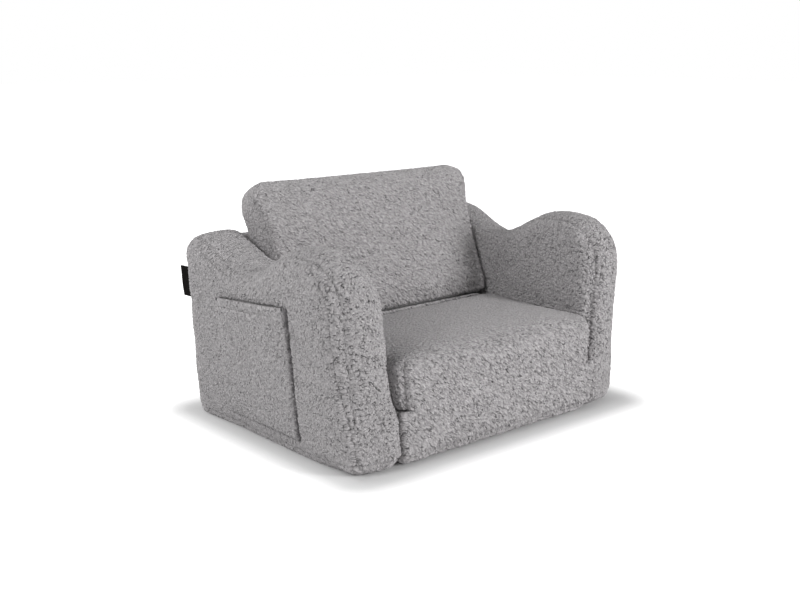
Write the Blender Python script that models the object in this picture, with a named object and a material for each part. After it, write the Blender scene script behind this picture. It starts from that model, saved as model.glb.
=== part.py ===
"""A child's foam armchair that flips open into a lounger.

Foam slabs in sewn fleece covers: two wave-topped arms, a base block and a
rear block make the frame. The seat cushion lies on the base and is sewn to
its front edge, and the back cushion is sewn to the seat's rear edge, so the
pair folds out forward and lies flat on the floor.

Metres, +Z up, +Y to the rear, origin on the floor under the middle.
"""
import math

import bmesh
import bpy
from mathutils import Matrix, Vector

for old_object in list(bpy.data.objects):
    bpy.data.objects.remove(old_object, do_unlink=True)

# Clearances and cloths
GAP = 0.0003
FLEECE = 0.0040
SOLE_CLOTH = 0.0018

# Frame; places along Y are measured from the arms' front face
FLOOR_WIDTH = 0.530
SPLAY_share = 0.10
SOLE_INSET = 0.025
SOLE_FRONT = 0.018
SOLE_CORNER = 0.020

# Arms
ARM_THICK = 0.077
ARM_FRONT_HUMP = 0.300
ARM_FRONT_SHOULDER = 0.225
ARM_DIP = 0.253
ARM_REAR_HUMP = 0.288
ARM_REAR_SHOULDER = 0.258
HUMP_START = 0.078
HUMP_END = 0.108
REAR_HUMP_RUN = 0.036
DIP_share = 0.50
ARM_FOOT_RADIUS = 0.018
ARM_TOP_CROWN = 0.009
ARM_FACE_CROWN = 0.004
ARM_EDGE_ROLL = 0.008
ARM_MIDDLE_HEIGHT = 0.140

# Base block and the hinge line along its front edge
BASE_HEIGHT = 0.0805
BASE_FOOT_RADIUS = 0.012
SEAT_PROUD = 0.012
FRONT_HINGE_REACH = 0.0015
EDGE_RADIUS = 0.008
EDGE_EASE = 0.060

# Seat cushion
SEAT_THICK = 0.0745
SEAT_CROWN = 0.0045
SEAT_LENGTH = 0.233
SEAT_CORNER = 0.022
SEAT_EDGE_RADIUS = 0.018
SEAT_DRAW = 0.003
SIDE_CLEARANCE = 0.001

# Back cushion
BACK_THICK = 0.070
BACK_CROWN = 0.005
BACK_LENGTH = 0.231
BACK_FOOT_CORNER = 0.014
BACK_TOP_CORNER = 0.027
BACK_EDGE_RADIUS = 0.012
BACK_DRAW = 0.006
RECLINE_DEG = 23.4
REAR_HINGE_REACH = 0.004
REAR_HINGE_SINK = 0.003

# Rear block
REAR_BLOCK_TOP = 0.281
REAR_BLOCK_THICK = 0.038
REAR_TOP_RADIUS = 0.014
REAR_RECESS = 0.008

# Straight run of cloth beside a seam
SEAM_RUN = 0.004

# Pocket on the outer face of one arm, its places taken from the arm's front
POCKET_FRONT = 0.130
POCKET_REAR = 0.312
POCKET_FOOT = 0.028
POCKET_TOP = 0.208
POCKET_TOP_DROP = 0.010
POCKET_CLOTH = 0.003
POCKET_DEPTH = 0.008
POCKET_HEM_HEIGHT = 0.012
POCKET_HEM_CLOTH = 0.0015

# Woven tab in the rear seam of the same arm
TAB_HEIGHT = 0.048
TAB_MIDDLE = 0.208
TAB_REACH = 0.018
TAB_CLOTH = 0.0008
TAB_BEND = 0.0006

# Zips
ZIP_TAPE_WIDTH = 0.022
ZIP_TAPE_THICK = 0.0010
ZIP_COIL_WIDTH = 0.0045
ZIP_COIL_HEIGHT = 0.0015
CUSHION_ZIP_INSET = 0.045
FRAME_ZIP_INSET = 0.032
SLIDER_LENGTH = 0.010
SLIDER_WIDTH = 0.0085
SLIDER_WALL = 0.0010
SLIDER_MARGIN = 0.006
SEAT_ZIP_FROM_TOP = 0.026
BACK_ZIP_FROM_FRONT = 0.048
FRAME_ZIP_HEIGHT = 0.040

# Places that follow from the sizes above
RECLINE = math.radians(RECLINE_DEG)
SOLE_TOP = SOLE_CLOTH + GAP
ARM_HALF = ARM_THICK / 2
ARM_MIDDLE_X = FLOOR_WIDTH / 2 - ARM_HALF
HINGE_Y = -SEAT_PROUD - FRONT_HINGE_REACH
HINGE_Z = BASE_HEIGHT
SEAT_FLOOR = BASE_HEIGHT + GAP
SEAT_REAR = SEAT_LENGTH - SEAT_PROUD
SEAT_TOP = SEAT_FLOOR + SEAT_THICK
DECK_TOP = BASE_HEIGHT - GAP
DECK_FRONT = EDGE_RADIUS + SEAM_RUN - SEAT_PROUD
FOLD_Y = SEAT_REAR + REAR_HINGE_REACH
FOLD_Z = SEAT_TOP - REAR_HINGE_SINK
UP_SLOPE = Vector((0, math.sin(RECLINE), math.cos(RECLINE)))
REARWARD = Vector((0, math.cos(RECLINE), -math.sin(RECLINE)))


def slope_y(z, beyond):
    """Place of a line parallel to the back cushion's front face, `beyond` behind it."""
    foot = Vector((0, FOLD_Y, FOLD_Z)) + REARWARD * (beyond - REAR_HINGE_SINK)
    return foot.y + (z - foot.z) * math.tan(RECLINE)


REAR_FACE = slope_y(REAR_BLOCK_TOP, BACK_THICK + GAP) + REAR_BLOCK_THICK
FRAME_DEPTH = REAR_FACE + REAR_RECESS
REAR_HUMP_PLACE = FRAME_DEPTH - REAR_HUMP_RUN
DIP_PLACE = HUMP_END + (REAR_HUMP_PLACE - HUMP_END) * DIP_share
FRONT_WELT = math.hypot(EDGE_RADIUS + FRONT_HINGE_REACH, EDGE_RADIUS) - EDGE_RADIUS - GAP
REAR_WELT = (math.hypot(EDGE_RADIUS + REAR_HINGE_REACH, EDGE_RADIUS - REAR_HINGE_SINK)
             - EDGE_RADIUS - GAP)
FRONT_REACH = HINGE_Y - FRONT_WELT
REAR_REACH = FRAME_DEPTH + TAB_REACH
MIDDLE_Y = (FRONT_REACH + REAR_REACH) / 2

# Counts of steps along curves and round corners
CORNER_STEPS = 3
CURVE_STEPS = 5
WELT_SIDES = 12
POCKET_COLUMNS = 8
POCKET_ROWS = 6

# Where the rings of a panel lie, as shares of the way to its middle, and how
# much of the crown they have reached there
FACE_INNER_share = 0.45
CROWN_RING_shares = (0.22, 0.6)
CROWN_RISE_shares = (0.55, 0.92)
ROLL_share = 0.3

# Where points lie along a straight run, and lines across an arm's gusset
FOOT_POINT_shares = (0.72, 0.5, 0.28)
EDGE_POINT_shares = (-0.45, 0, 0.45)
BAND_shares = (-1, -0.7, 0, 0.7, 1)
COIL_TOP_share = 0.6

# Which arm carries the pocket and the tab: the one at -X
POCKET_SIDE = -1


def material(name, colour, roughness):
    """A plain cloth, foam or plastic finish."""
    made = bpy.data.materials.new(name)
    made.use_nodes = True
    shader = made.node_tree.nodes["Principled BSDF"]
    shader.inputs["Base Color"].default_value = (*colour, 1)
    shader.inputs["Roughness"].default_value = roughness
    shader.inputs["Metallic"].default_value = 0
    return made


GREY_FLEECE = (0.36, 0.35, 0.355)
PALE_FOAM = (0.80, 0.77, 0.68)
DARK_CLOTH = (0.06, 0.06, 0.065)
BROWN_TAPE = (0.035, 0.022, 0.018)
GREY_TAPE = (0.22, 0.22, 0.23)


def add_solid(name, verts, faces, colour, roughness=0.95, smooth=True):
    """One named object from points and faces, its faces turned outward."""
    mesh = bpy.data.meshes.new(name)
    mesh.from_pydata([Vector(v) - Vector((0, MIDDLE_Y, 0)) for v in verts], [], faces)
    body = bmesh.new()
    body.from_mesh(mesh)
    bmesh.ops.recalc_face_normals(body, faces=body.faces)
    body.to_mesh(mesh)
    body.free()
    made = bpy.data.objects.new(name, mesh)
    bpy.context.scene.collection.objects.link(made)
    made.data.materials.append(material(name + "_finish", colour, roughness))
    if smooth:
        mesh.shade_smooth()
        mesh.set_sharp_from_angle(angle=math.radians(40))
    return made


def skin_faces(rows, columns, start, wrap):
    """Quads between neighbouring rows of points, each row `columns` long."""
    faces = []
    for row in range(rows - 1):
        for column in range(columns if wrap else columns - 1):
            after = (column + 1) % columns
            a = start + row * columns
            b = a + columns
            faces.append((a + column, a + after, b + after, b + column))
    return faces


def cloth_panel(name, outer, inner, colour, wrap=True, centre=None):
    """A cloth: an outer and an inner grid of points, joined round their rims.

    With `centre`, an outer and an inner point, the last rows close on these
    points, so the panel is a whole face and not a band.
    """
    rows, columns = len(outer), len(outer[0])
    verts = [point for row in outer for point in row]
    second = len(verts)
    verts += [point for row in inner for point in row]
    faces = skin_faces(rows, columns, 0, wrap)
    faces += skin_faces(rows, columns, second, wrap)
    last = (rows - 1) * columns
    edge = range(columns if wrap else columns - 1)
    for column in edge:
        after = (column + 1) % columns
        faces.append((column, after, second + after, second + column))
    if centre:
        for base, point in ((0, centre[0]), (second, centre[1])):
            verts.append(point)
            hub = len(verts) - 1
            for column in edge:
                faces.append((base + last + column, base + last + (column + 1) % columns, hub))
    else:
        for column in edge:
            after = (column + 1) % columns
            faces.append((last + column, last + after,
                          second + last + after, second + last + column))
    if not wrap:
        for row in range(rows - 1):
            for column in (0, columns - 1):
                a = row * columns + column
                faces.append((a, a + columns, second + a + columns, second + a))
    return add_solid(name, verts, faces, colour)


def closed_form(name, rings, ends, colour):
    """A solid from a stack of closed rings, closed on a point at each end."""
    columns = len(rings[0])
    verts = [point for ring in rings for point in ring]
    faces = skin_faces(len(rings), columns, 0, True)
    for first, point in ((0, ends[0]), ((len(rings) - 1) * columns, ends[1])):
        verts.append(point)
        hub = len(verts) - 1
        for column in range(columns):
            faces.append((first + column, first + (column + 1) % columns, hub))
    return add_solid(name, verts, faces, colour)


def quarter(start_deg, centre, radius_y, radius_z, steps):
    """Points of a quarter ellipse that turns clockwise from an angle."""
    points = []
    for step in range(steps + 1):
        angle = math.radians(start_deg - 90 * step / steps)
        points.append((centre[0] + radius_y * math.cos(angle),
                       centre[1] + radius_z * math.sin(angle)))
    return points


def wave(start, end, steps):
    """Points along half a cosine wave from one crest or trough to the next."""
    points = []
    for step in range(1, steps + 1):
        share = step / steps
        rise = (1 - math.cos(math.pi * share)) / 2
        points.append((start[0] + (end[0] - start[0]) * share,
                       start[1] + (end[1] - start[1]) * rise))
    return points


def inset(outline, distance, closed=True):
    """The outline moved inward; it runs clockwise seen with +Y to the right."""
    moved = []
    count = len(outline)
    for index, point in enumerate(outline):
        before = outline[index - 1] if closed or index else None
        after = outline[(index + 1) % count] if closed or index < count - 1 else None
        normals = []
        for first, second in ((before, point), (point, after)):
            if first is None or second is None:
                continue
            run = Vector(second) - Vector(first)
            normals.append(Vector((run.y, -run.x)).normalized())
        middle = sum(normals, Vector((0, 0))).normalized()
        moved.append(tuple(Vector(point) + middle * distance / middle.dot(normals[0])))
    return moved


def toward(outline, middle, share):
    """The outline drawn in toward a middle point by a share of the way."""
    return [tuple(Vector(point).lerp(Vector(middle), share)) for point in outline]


# Arms: a foam slab with a hump at the front and rear, cut to the wave
# outline, between an outer and an inner fleece panel and a gusset band.
def arm_outline():
    """The side view of an arm: (y, z) from the front foot over the top."""
    foot = ARM_FOOT_RADIUS
    bottom = SOLE_TOP
    front = quarter(270, (foot, bottom + foot), foot, foot, CORNER_STEPS)
    front_rise = ARM_FRONT_HUMP - ARM_FRONT_SHOULDER
    over_front = quarter(180, (HUMP_START, ARM_FRONT_SHOULDER), HUMP_START, front_rise, CURVE_STEPS)
    crest = (HUMP_END, ARM_FRONT_HUMP)
    dip = (DIP_PLACE, ARM_DIP)
    rear_crest = (REAR_HUMP_PLACE, ARM_REAR_HUMP)
    rear_run = FRAME_DEPTH - REAR_HUMP_PLACE
    rear_rise = ARM_REAR_HUMP - ARM_REAR_SHOULDER
    over_rear = quarter(90, (REAR_HUMP_PLACE, ARM_REAR_SHOULDER), rear_run, rear_rise, CURVE_STEPS)
    rear = quarter(0, (FRAME_DEPTH - foot, bottom + foot), foot, foot, CORNER_STEPS)
    points = front + over_front + [crest] + wave(crest, dip, CURVE_STEPS)
    points += wave(dip, rear_crest, CURVE_STEPS) + over_rear[1:] + rear
    points += [(FRAME_DEPTH * share, bottom) for share in FOOT_POINT_shares]
    return points


def arm_crowns(outline):
    """Crown of the band at each point: full over the top, less on the faces, none below."""
    crowns = []
    for index, point in enumerate(outline):
        run = Vector(outline[(index + 1) % len(outline)]) - Vector(outline[index - 1])
        facing_up = run.normalized().x
        if facing_up > 0:
            crowns.append(ARM_FACE_CROWN + (ARM_TOP_CROWN - ARM_FACE_CROWN) * facing_up ** 2)
        else:
            crowns.append(ARM_FACE_CROWN * (1 - facing_up ** 2))
    return crowns


def arm_ring(outline, drops, extra, share, height, side):
    """One ring of an arm at a height off its middle plane.

    Each point is inset by its own drop and the extra, then drawn in by the share.
    """
    ring = [inset(outline, drop + extra)[index] for index, drop in enumerate(drops)]
    ring = toward(ring, (FRAME_DEPTH / 2, ARM_MIDDLE_HEIGHT), share)
    return [splayed(height, y, z, side) for y, z in ring]


def splayed(height, y, z, side):
    """A point of an arm: `height` is its distance outward of the arm's middle plane."""
    return (side * (ARM_MIDDLE_X + height + SPLAY_share * z), y, z)


def make_arm(label, side):
    """The foam, two side panels and gusset of one arm; side is -1 or 1."""
    outline = arm_outline()
    roll = ARM_HALF - ARM_EDGE_ROLL
    crowns = arm_crowns(outline)
    mid = (FRAME_DEPTH / 2, ARM_MIDDLE_HEIGHT)

    for place, out in (("outer", 1), ("inner", -1)):
        def face_rings(cloth):
            half = ARM_HALF - cloth
            return [arm_ring(outline, crowns, cloth, 0, out * roll, side),
                    arm_ring(outline, crowns, ARM_EDGE_ROLL / 3 + cloth, 0,
                             out * (half - ARM_EDGE_ROLL / 4), side),
                    arm_ring(outline, crowns, ARM_EDGE_ROLL + cloth, 0, out * half, side),
                    arm_ring(outline, crowns, ARM_EDGE_ROLL + cloth, FACE_INNER_share,
                             out * half, side)]
        centres = [splayed(out * (ARM_HALF - cloth), mid[0], mid[1], side)
                   for cloth in (0, FLEECE)]
        cloth_panel(f"arm_{label}_{place}_panel", face_rings(0), face_rings(FLEECE),
                    GREY_FLEECE, centre=centres)

    band = roll - GAP

    def band_rings(cloth):
        return [arm_ring(outline, [crown * share ** 2 for crown in crowns], cloth, 0,
                         band * share, side) for share in BAND_shares]

    cloth_panel(f"arm_{label}_gusset", band_rings(0), band_rings(FLEECE), GREY_FLEECE)

    depth = FLEECE + GAP
    half = ARM_HALF - depth
    rings = []
    for out in (-1, 1):
        face = [arm_ring(outline, crowns, ARM_EDGE_ROLL + depth, FACE_INNER_share,
                         out * half, side),
                arm_ring(outline, crowns, ARM_EDGE_ROLL + depth, 0, out * half, side),
                arm_ring(outline, crowns, ARM_EDGE_ROLL / 3 + depth, 0,
                         out * (half - ARM_EDGE_ROLL / 4), side)]
        rings.append(face)
    stack = rings[0] + band_rings(depth) + rings[1][::-1]
    ends = [splayed(out * half, mid[0], mid[1], side) for out in (-1, 1)]
    closed_form(f"arm_{label}_foam", stack, ends, PALE_FOAM)


# Base and rear blocks: foam between the arms, with strips of fleece over
# the front, the deck under the seat and both faces of the rear.
def between_arms(z):
    """Half the width between the arms at a height."""
    return FLOOR_WIDTH / 2 - ARM_THICK + SPLAY_share * z - GAP


def block(name, outline, colour):
    """A foam block between the arms from its (y, z) outline."""
    rows = [[(side * between_arms(z), y, z) for y, z in outline] for side in (-1, 1)]
    count = len(outline)
    verts = rows[0] + rows[1]
    faces = skin_faces(2, count, 0, True)
    faces.append(tuple(range(count)))
    faces.append(tuple(range(count, 2 * count)))
    return add_solid(name, verts, faces, colour)


def strip(name, path, cloth, colour):
    """A cloth strip between the arms whose outer face follows a path."""
    under = inset(path, cloth, closed=False)
    grids = []
    for line in (path, under):
        grids.append([[(side * between_arms(z), y, z) for y, z in line] for side in (-1, 1)])
    return cloth_panel(name, grids[0], grids[1], colour, wrap=False)


def front_path():
    """Outer face of the base's front strip, from its foot to the hinge edge."""
    foot = BASE_FOOT_RADIUS
    front = -SEAT_PROUD
    low = quarter(270, (front + foot, SOLE_TOP + foot), foot, foot, CORNER_STEPS)
    top = quarter(180, (front + EDGE_RADIUS, DECK_TOP - EDGE_RADIUS), EDGE_RADIUS,
                  EDGE_RADIUS, CORNER_STEPS)
    under = (front + foot + SEAM_RUN, SOLE_TOP)
    return [under] + low + top + [(DECK_FRONT, DECK_TOP)]


def rear_path():
    """Outer face of the rear block, from the deck up the slope and down the rear."""
    radius = REAR_TOP_RADIUS
    lean = BACK_THICK + GAP
    top = REAR_BLOCK_TOP
    low_z = DECK_TOP + GAP + FLEECE * math.sin(RECLINE)
    slope = [(slope_y(low_z, lean), low_z)]
    centre_z = top - radius
    centre_y = slope_y(centre_z, lean) + radius / math.cos(RECLINE)
    for step in range(CURVE_STEPS + 1):
        angle = math.radians(180 - RECLINE_DEG - (90 - RECLINE_DEG) * step / CURVE_STEPS)
        slope.append((centre_y + radius * math.cos(angle), centre_z + radius * math.sin(angle)))
    over = quarter(90, (REAR_FACE - radius, top - radius), radius, radius, CORNER_STEPS)
    seam = (slope[-1][0] + over[0][0]) / 2
    return slope + [(seam, top)], [(seam + GAP, top)] + over + [(REAR_FACE, SOLE_TOP)]


def make_base():
    """The base and rear foam with their fleece strips and the sole."""
    front = front_path()
    slope, rear = rear_path()
    deck_rear = slope_y(DECK_TOP, BACK_THICK + GAP) + FLEECE
    strip("base_front_strip", front, FLEECE, GREY_FLEECE)
    strip("base_deck", [(DECK_FRONT + GAP, DECK_TOP), (deck_rear, DECK_TOP)], FLEECE,
          GREY_FLEECE)
    strip("rear_inner_strip", slope, FLEECE, GREY_FLEECE)
    strip("rear_outer_strip", rear, FLEECE, GREY_FLEECE)

    depth = FLEECE + GAP
    core_top = DECK_TOP - depth
    rear_y = REAR_FACE - depth
    foot_y = front[0][0] + GAP
    base = [(foot_y, SOLE_TOP), (foot_y, SOLE_TOP + depth)]
    base += inset(front, depth, closed=False)[1:]
    base += [(rear_y, core_top), (rear_y, SOLE_TOP)]
    block("base_foam", base, PALE_FOAM)

    wedge = inset(slope[:-1] + rear[1:], depth, closed=False)
    low = DECK_TOP + GAP
    wedge[0] = (slope_y(low, BACK_THICK + GAP + depth), low)
    wedge[-1] = (rear_y, low)
    block("rear_block_foam", wedge, PALE_FOAM)


def make_sole():
    """The non-slip cloth under the whole chair."""
    half = FLOOR_WIDTH / 2 - SOLE_INSET
    front = SOLE_FRONT
    rear = FRAME_DEPTH - SOLE_INSET
    radius = SOLE_CORNER
    corners = ((half - radius, rear - radius, 0), (-half + radius, rear - radius, 90),
               (-half + radius, front + radius, 180), (half - radius, front + radius, 270))
    ring = []
    for x, y, start in corners:
        for step in range(CORNER_STEPS + 1):
            angle = math.radians(start + 90 * step / CORNER_STEPS)
            ring.append((x + radius * math.cos(angle), y + radius * math.sin(angle)))
    rows = [[(x, y, z) for x, y in ring] for z in (0, SOLE_CLOTH)]
    count = len(ring)
    faces = skin_faces(2, count, 0, True)
    faces.append(tuple(range(count)))
    faces.append(tuple(range(count, 2 * count)))
    add_solid("anti_slip_sole", rows[0] + rows[1], faces, DARK_CLOTH)


# Cushions: a foam core in a top panel, a bottom panel and a boxing band.
def cushion_outline(half_foot, half_top, length, foot_corner, top_corner, draw_in):
    """The plan of a cushion, clockwise: its foot edge at 0, its far edge at `length`.

    Both sides are drawn in a little between their corners.
    """
    points = []
    lean = (half_top - half_foot) / length
    for step in range(CORNER_STEPS + 1):
        angle = math.radians(270 - 90 * step / CORNER_STEPS)
        points.append((-half_foot + foot_corner * (1 + math.cos(angle)),
                       foot_corner * (1 + math.sin(angle))))
    for step in range(1, CURVE_STEPS):
        share = step / CURVE_STEPS
        along = foot_corner + (length - foot_corner - top_corner) * share
        draw = draw_in * math.sin(math.pi * share)
        points.append((-half_foot - lean * along + draw, along))
    for step in range(CORNER_STEPS + 1):
        angle = math.radians(180 - 90 * step / CORNER_STEPS)
        points.append((-half_top + top_corner * (1 + math.cos(angle)),
                       length - top_corner * (1 - math.sin(angle))))
    points += [(half_top * share, length) for share in EDGE_POINT_shares]
    mirrored = [(-x, y) for x, y in points[:-len(EDGE_POINT_shares)]]
    points += mirrored[::-1]
    points += [(-half_foot * share, 0) for share in EDGE_POINT_shares]
    return points


def cushion_ring(outline, drop_in, share, heights, place):
    """One ring of a cushion, carried to its place in the chair.

    `drop_in` and `heights` hold a value for each point of the outline.
    """
    middle = (0, max(y for x, y in outline) / 2)
    moved = [inset(outline, distance)[index] for index, distance in enumerate(drop_in)]
    ring = toward(moved, middle, share)
    return [tuple(place @ Vector((x, y, height))) for (x, y), height in zip(ring, heights)]


def edge_radii(outline, full_radius, hinge_at):
    """Radius of a crowned edge: full, but tight beside the hinge at one end."""
    radii = []
    for x, y in outline:
        share = min(abs(y - hinge_at) / EDGE_EASE, 1)
        radii.append(EDGE_RADIUS + (full_radius - EDGE_RADIUS) * share)
    return radii


def make_cushion(label, outline, form, hinge_at, place, names):
    """Foam, two panels and boxing; `form` is thickness, crown and edge radius.

    The crowned face is at local z `thick`.
    """
    thick, crown, full_radius = form
    middle = (0, max(y for x, y in outline) / 2)
    half = thick / 2
    rise = {1: crown, -1: 0}
    edges = {1: edge_radii(outline, full_radius, hinge_at), -1: [EDGE_RADIUS] * len(outline)}

    def level(height):
        return [height] * len(outline)

    def cap(out, cloth):
        top = half + out * (half - cloth)
        radii = edges[out]
        deep = [radius + cloth for radius in radii]
        return [cushion_ring(outline, level(cloth), 0,
                             [half + out * (half - radius) for radius in radii], place),
                cushion_ring(outline, [radius * ROLL_share + cloth for radius in radii], 0,
                             [top - out * radius * ROLL_share for radius in radii], place),
                cushion_ring(outline, deep, 0, level(top), place),
                cushion_ring(outline, deep, CROWN_RING_shares[0],
                             level(top + out * rise[out] * CROWN_RISE_shares[0]), place),
                cushion_ring(outline, deep, CROWN_RING_shares[1],
                             level(top + out * rise[out] * CROWN_RISE_shares[1]), place)]

    def hub(out, cloth):
        top = half + out * (half - cloth) + out * rise[out]
        return tuple(place @ Vector((*middle, top)))

    for name, out in ((names[0], 1), (names[1], -1)):
        cloth_panel(name, cap(out, 0), cap(out, FLEECE), GREY_FLEECE,
                    centre=[hub(out, 0), hub(out, FLEECE)])
    low = [radius + GAP for radius in edges[-1]]
    high = [thick - radius - GAP for radius in edges[1]]
    waist = [(a + b) / 2 for a, b in zip(low, high)]
    bands = [[cushion_ring(outline, level(cloth), 0, heights, place)
              for heights in (low, waist, high)] for cloth in (0, FLEECE)]
    cloth_panel(f"{label}_boxing", bands[0], bands[1], GREY_FLEECE)
    depth = FLEECE + GAP
    sides = [cushion_ring(outline, level(depth), 0, heights, place)
             for heights in (low, waist, high)]
    stack = cap(-1, depth)[:0:-1] + sides + cap(1, depth)[1:]
    closed_form(f"{label}_foam", stack, [hub(-1, depth), hub(1, depth)], PALE_FOAM)


def seat_place():
    """Seat cushion: its plan lies flat on the deck, its foot edge at the front."""
    return Matrix.Translation((0, -SEAT_PROUD, SEAT_FLOOR))


def back_place():
    """Back cushion: its plan stands up the slope, its crown facing forward."""
    foot = Vector((0, FOLD_Y, FOLD_Z)) + UP_SLOPE * REAR_HINGE_REACH
    foot += REARWARD * (BACK_THICK - REAR_HINGE_SINK)
    turn = Matrix((
        (1, 0, 0, foot.x),
        (0, UP_SLOPE.y, -REARWARD.y, foot.y),
        (0, UP_SLOPE.z, -REARWARD.z, foot.z),
        (0, 0, 0, 1)))
    return turn


def seat_half_width():
    """Half the width of the seat cushion, set by the arms at its under side."""
    return between_arms(SEAT_FLOOR) - SIDE_CLEARANCE


def back_half_width():
    """Half the width of the back cushion's foot, set by the arms at its low edge."""
    return between_arms(FOLD_Z - BACK_THICK * math.sin(RECLINE)) - SIDE_CLEARANCE


def make_cushions():
    """The seat and back cushions with the cloth rolls that hinge them."""
    seat_half = seat_half_width()
    seat = cushion_outline(seat_half, seat_half, SEAT_LENGTH, SEAT_CORNER, SEAT_CORNER,
                           SEAT_DRAW)
    make_cushion("seat", seat, (SEAT_THICK, SEAT_CROWN, SEAT_EDGE_RADIUS), SEAT_LENGTH,
                 seat_place(), ("seat_top_panel", "seat_under_panel"))
    foot_half = back_half_width()
    top_half = foot_half + SPLAY_share * BACK_LENGTH * math.cos(RECLINE)
    back = cushion_outline(foot_half, top_half, BACK_LENGTH, BACK_FOOT_CORNER, BACK_TOP_CORNER,
                           BACK_DRAW)
    make_cushion("back", back, (BACK_THICK, BACK_CROWN, BACK_EDGE_RADIUS), 0,
                 back_place(), ("back_front_panel", "back_rear_panel"))
    welt("seat_hinge_roll", FRONT_WELT, HINGE_Y, HINGE_Z, seat_half - SEAT_CORNER)
    welt("back_hinge_roll", REAR_WELT, FOLD_Y, FOLD_Z, foot_half - SEAT_CORNER)


def welt(name, radius, y, z, half):
    """A round roll of cloth along a hinge line."""
    ring = []
    for step in range(WELT_SIDES):
        angle = 2 * math.pi * (step + 0.5) / WELT_SIDES
        ring.append((y + radius * math.cos(angle), z + radius * math.sin(angle)))
    rows = [[(x, *point) for point in ring] for x in (-half, half)]
    faces = skin_faces(2, WELT_SIDES, 0, True)
    faces.append(tuple(range(WELT_SIDES)))
    faces.append(tuple(range(WELT_SIDES, 2 * WELT_SIDES)))
    add_solid(name, rows[0] + rows[1], faces, GREY_FLEECE)


# Pocket: a fleece patch sewn to the outer face on three sides, bellied out
# so that its mouth at the top stays open, with a turned hem along the mouth.
def belly(share_y, share_z):
    """Depth of the pocket's cavity: none at the seams, most at the open mouth."""
    across = math.sqrt(max(math.sin(math.pi * share_y), 0)) if 0 < share_y < 1 else 0
    up = math.sin(math.pi / 2 * share_z) ** 0.8
    return POCKET_DEPTH * across * up


def pocket_point(share_y, share_z, lift):
    """A point of the pocket, `lift` outward of the arm's outer face."""
    y = POCKET_FRONT + (POCKET_REAR - POCKET_FRONT) * share_y
    top = POCKET_TOP - POCKET_TOP_DROP * share_y
    z = POCKET_FOOT + (top - POCKET_FOOT) * share_z
    return splayed(ARM_HALF + lift, y, z, POCKET_SIDE)


def make_pocket():
    """The pocket's patch and the hem along its mouth."""
    shares_y = [column / POCKET_COLUMNS for column in range(POCKET_COLUMNS + 1)]
    shares_z = [row / POCKET_ROWS for row in range(POCKET_ROWS + 1)]
    inner = [[pocket_point(a, b, GAP + belly(a, b)) for a in shares_y] for b in shares_z]
    outer = [[pocket_point(a, b, GAP + belly(a, b) + POCKET_CLOTH) for a in shares_y]
             for b in shares_z]
    cloth_panel("pocket_patch", outer, inner, GREY_FLEECE, wrap=False)
    height = POCKET_TOP - POCKET_FOOT
    low = 1 - POCKET_HEM_HEIGHT / height
    hem_shares = (low, 1)
    start = GAP * 2 + POCKET_CLOTH
    hem = []
    for cloth in (POCKET_HEM_CLOTH, 0):
        hem.append([[pocket_point(a, b, start + cloth + flat_belly(a, b)) for a in shares_y]
                    for b in hem_shares])
    cloth_panel("pocket_hem", hem[0], hem[1], GREY_FLEECE, wrap=False)


def flat_belly(share_y, share_z):
    """The belly as the patch's flat facets give it, read between its rows."""
    row = min(int(share_z * POCKET_ROWS), POCKET_ROWS - 1)
    part = share_z * POCKET_ROWS - row
    low = belly(share_y, row / POCKET_ROWS)
    high = belly(share_y, (row + 1) / POCKET_ROWS)
    return low + (high - low) * part


def gusset_drop(x):
    """How far the gusset's flat facets lie under its crown, off the arm's middle plane."""
    share = abs(x) / (ARM_HALF - ARM_EDGE_ROLL - GAP)
    low, high = BAND_shares[-2:]
    part = (share - low) / (high - low)
    return ARM_FACE_CROWN * (low ** 2 + (high ** 2 - low ** 2) * part)


def make_tab():
    """A folded woven tab, its two ends sewn into the rear seam of the arm."""
    height_off = ARM_HALF - ARM_EDGE_ROLL
    bend = TAB_BEND
    full = bend + TAB_CLOTH
    root = FRAME_DEPTH - gusset_drop(height_off - full) + GAP
    tip = FRAME_DEPTH + TAB_REACH - full

    def fold(radius, reach):
        line = [(-radius, root)]
        for step in range(CURVE_STEPS + 1):
            angle = math.radians(180 - 180 * step / CURVE_STEPS)
            line.append((radius * math.cos(angle), reach + radius * math.sin(angle)))
        return line + [(radius, root)]

    rows = []
    for radius in (full, bend):
        line = fold(radius, tip)
        rows.append([[splayed(height_off + x, y, z, POCKET_SIDE) for x, y in line]
                     for z in (TAB_MIDDLE - TAB_HEIGHT / 2, TAB_MIDDLE + TAB_HEIGHT / 2)])
    cloth_panel("label_tab", rows[0], rows[1], BROWN_TAPE, wrap=False)


# Zips: a tape with a coil along its middle and a slider without a pull, as
# child-safe covers have.
def zip_profile():
    """Section of a zip: (across, off the cloth), clockwise."""
    half = ZIP_TAPE_WIDTH / 2
    coil = ZIP_COIL_WIDTH / 2
    top = ZIP_TAPE_THICK + ZIP_COIL_HEIGHT
    crest = coil * COIL_TOP_share
    return [(-half, 0), (-half, ZIP_TAPE_THICK), (-coil, ZIP_TAPE_THICK), (-crest, top),
            (crest, top), (coil, ZIP_TAPE_THICK), (half, ZIP_TAPE_THICK), (half, 0)]


def slider_profile():
    """Section of a slider: a channel over the coil, standing on the tape."""
    half = SLIDER_WIDTH / 2
    wall = SLIDER_WALL
    low = ZIP_TAPE_THICK + GAP
    top = ZIP_TAPE_THICK + ZIP_COIL_HEIGHT + GAP
    inner = half - wall
    shoulder = top + wall / 2
    return [(-half, low), (-half, shoulder), (-inner, top + wall), (inner, top + wall),
            (half, shoulder), (half, low), (inner, low), (inner, top),
            (-inner, top), (-inner, low)]


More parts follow.
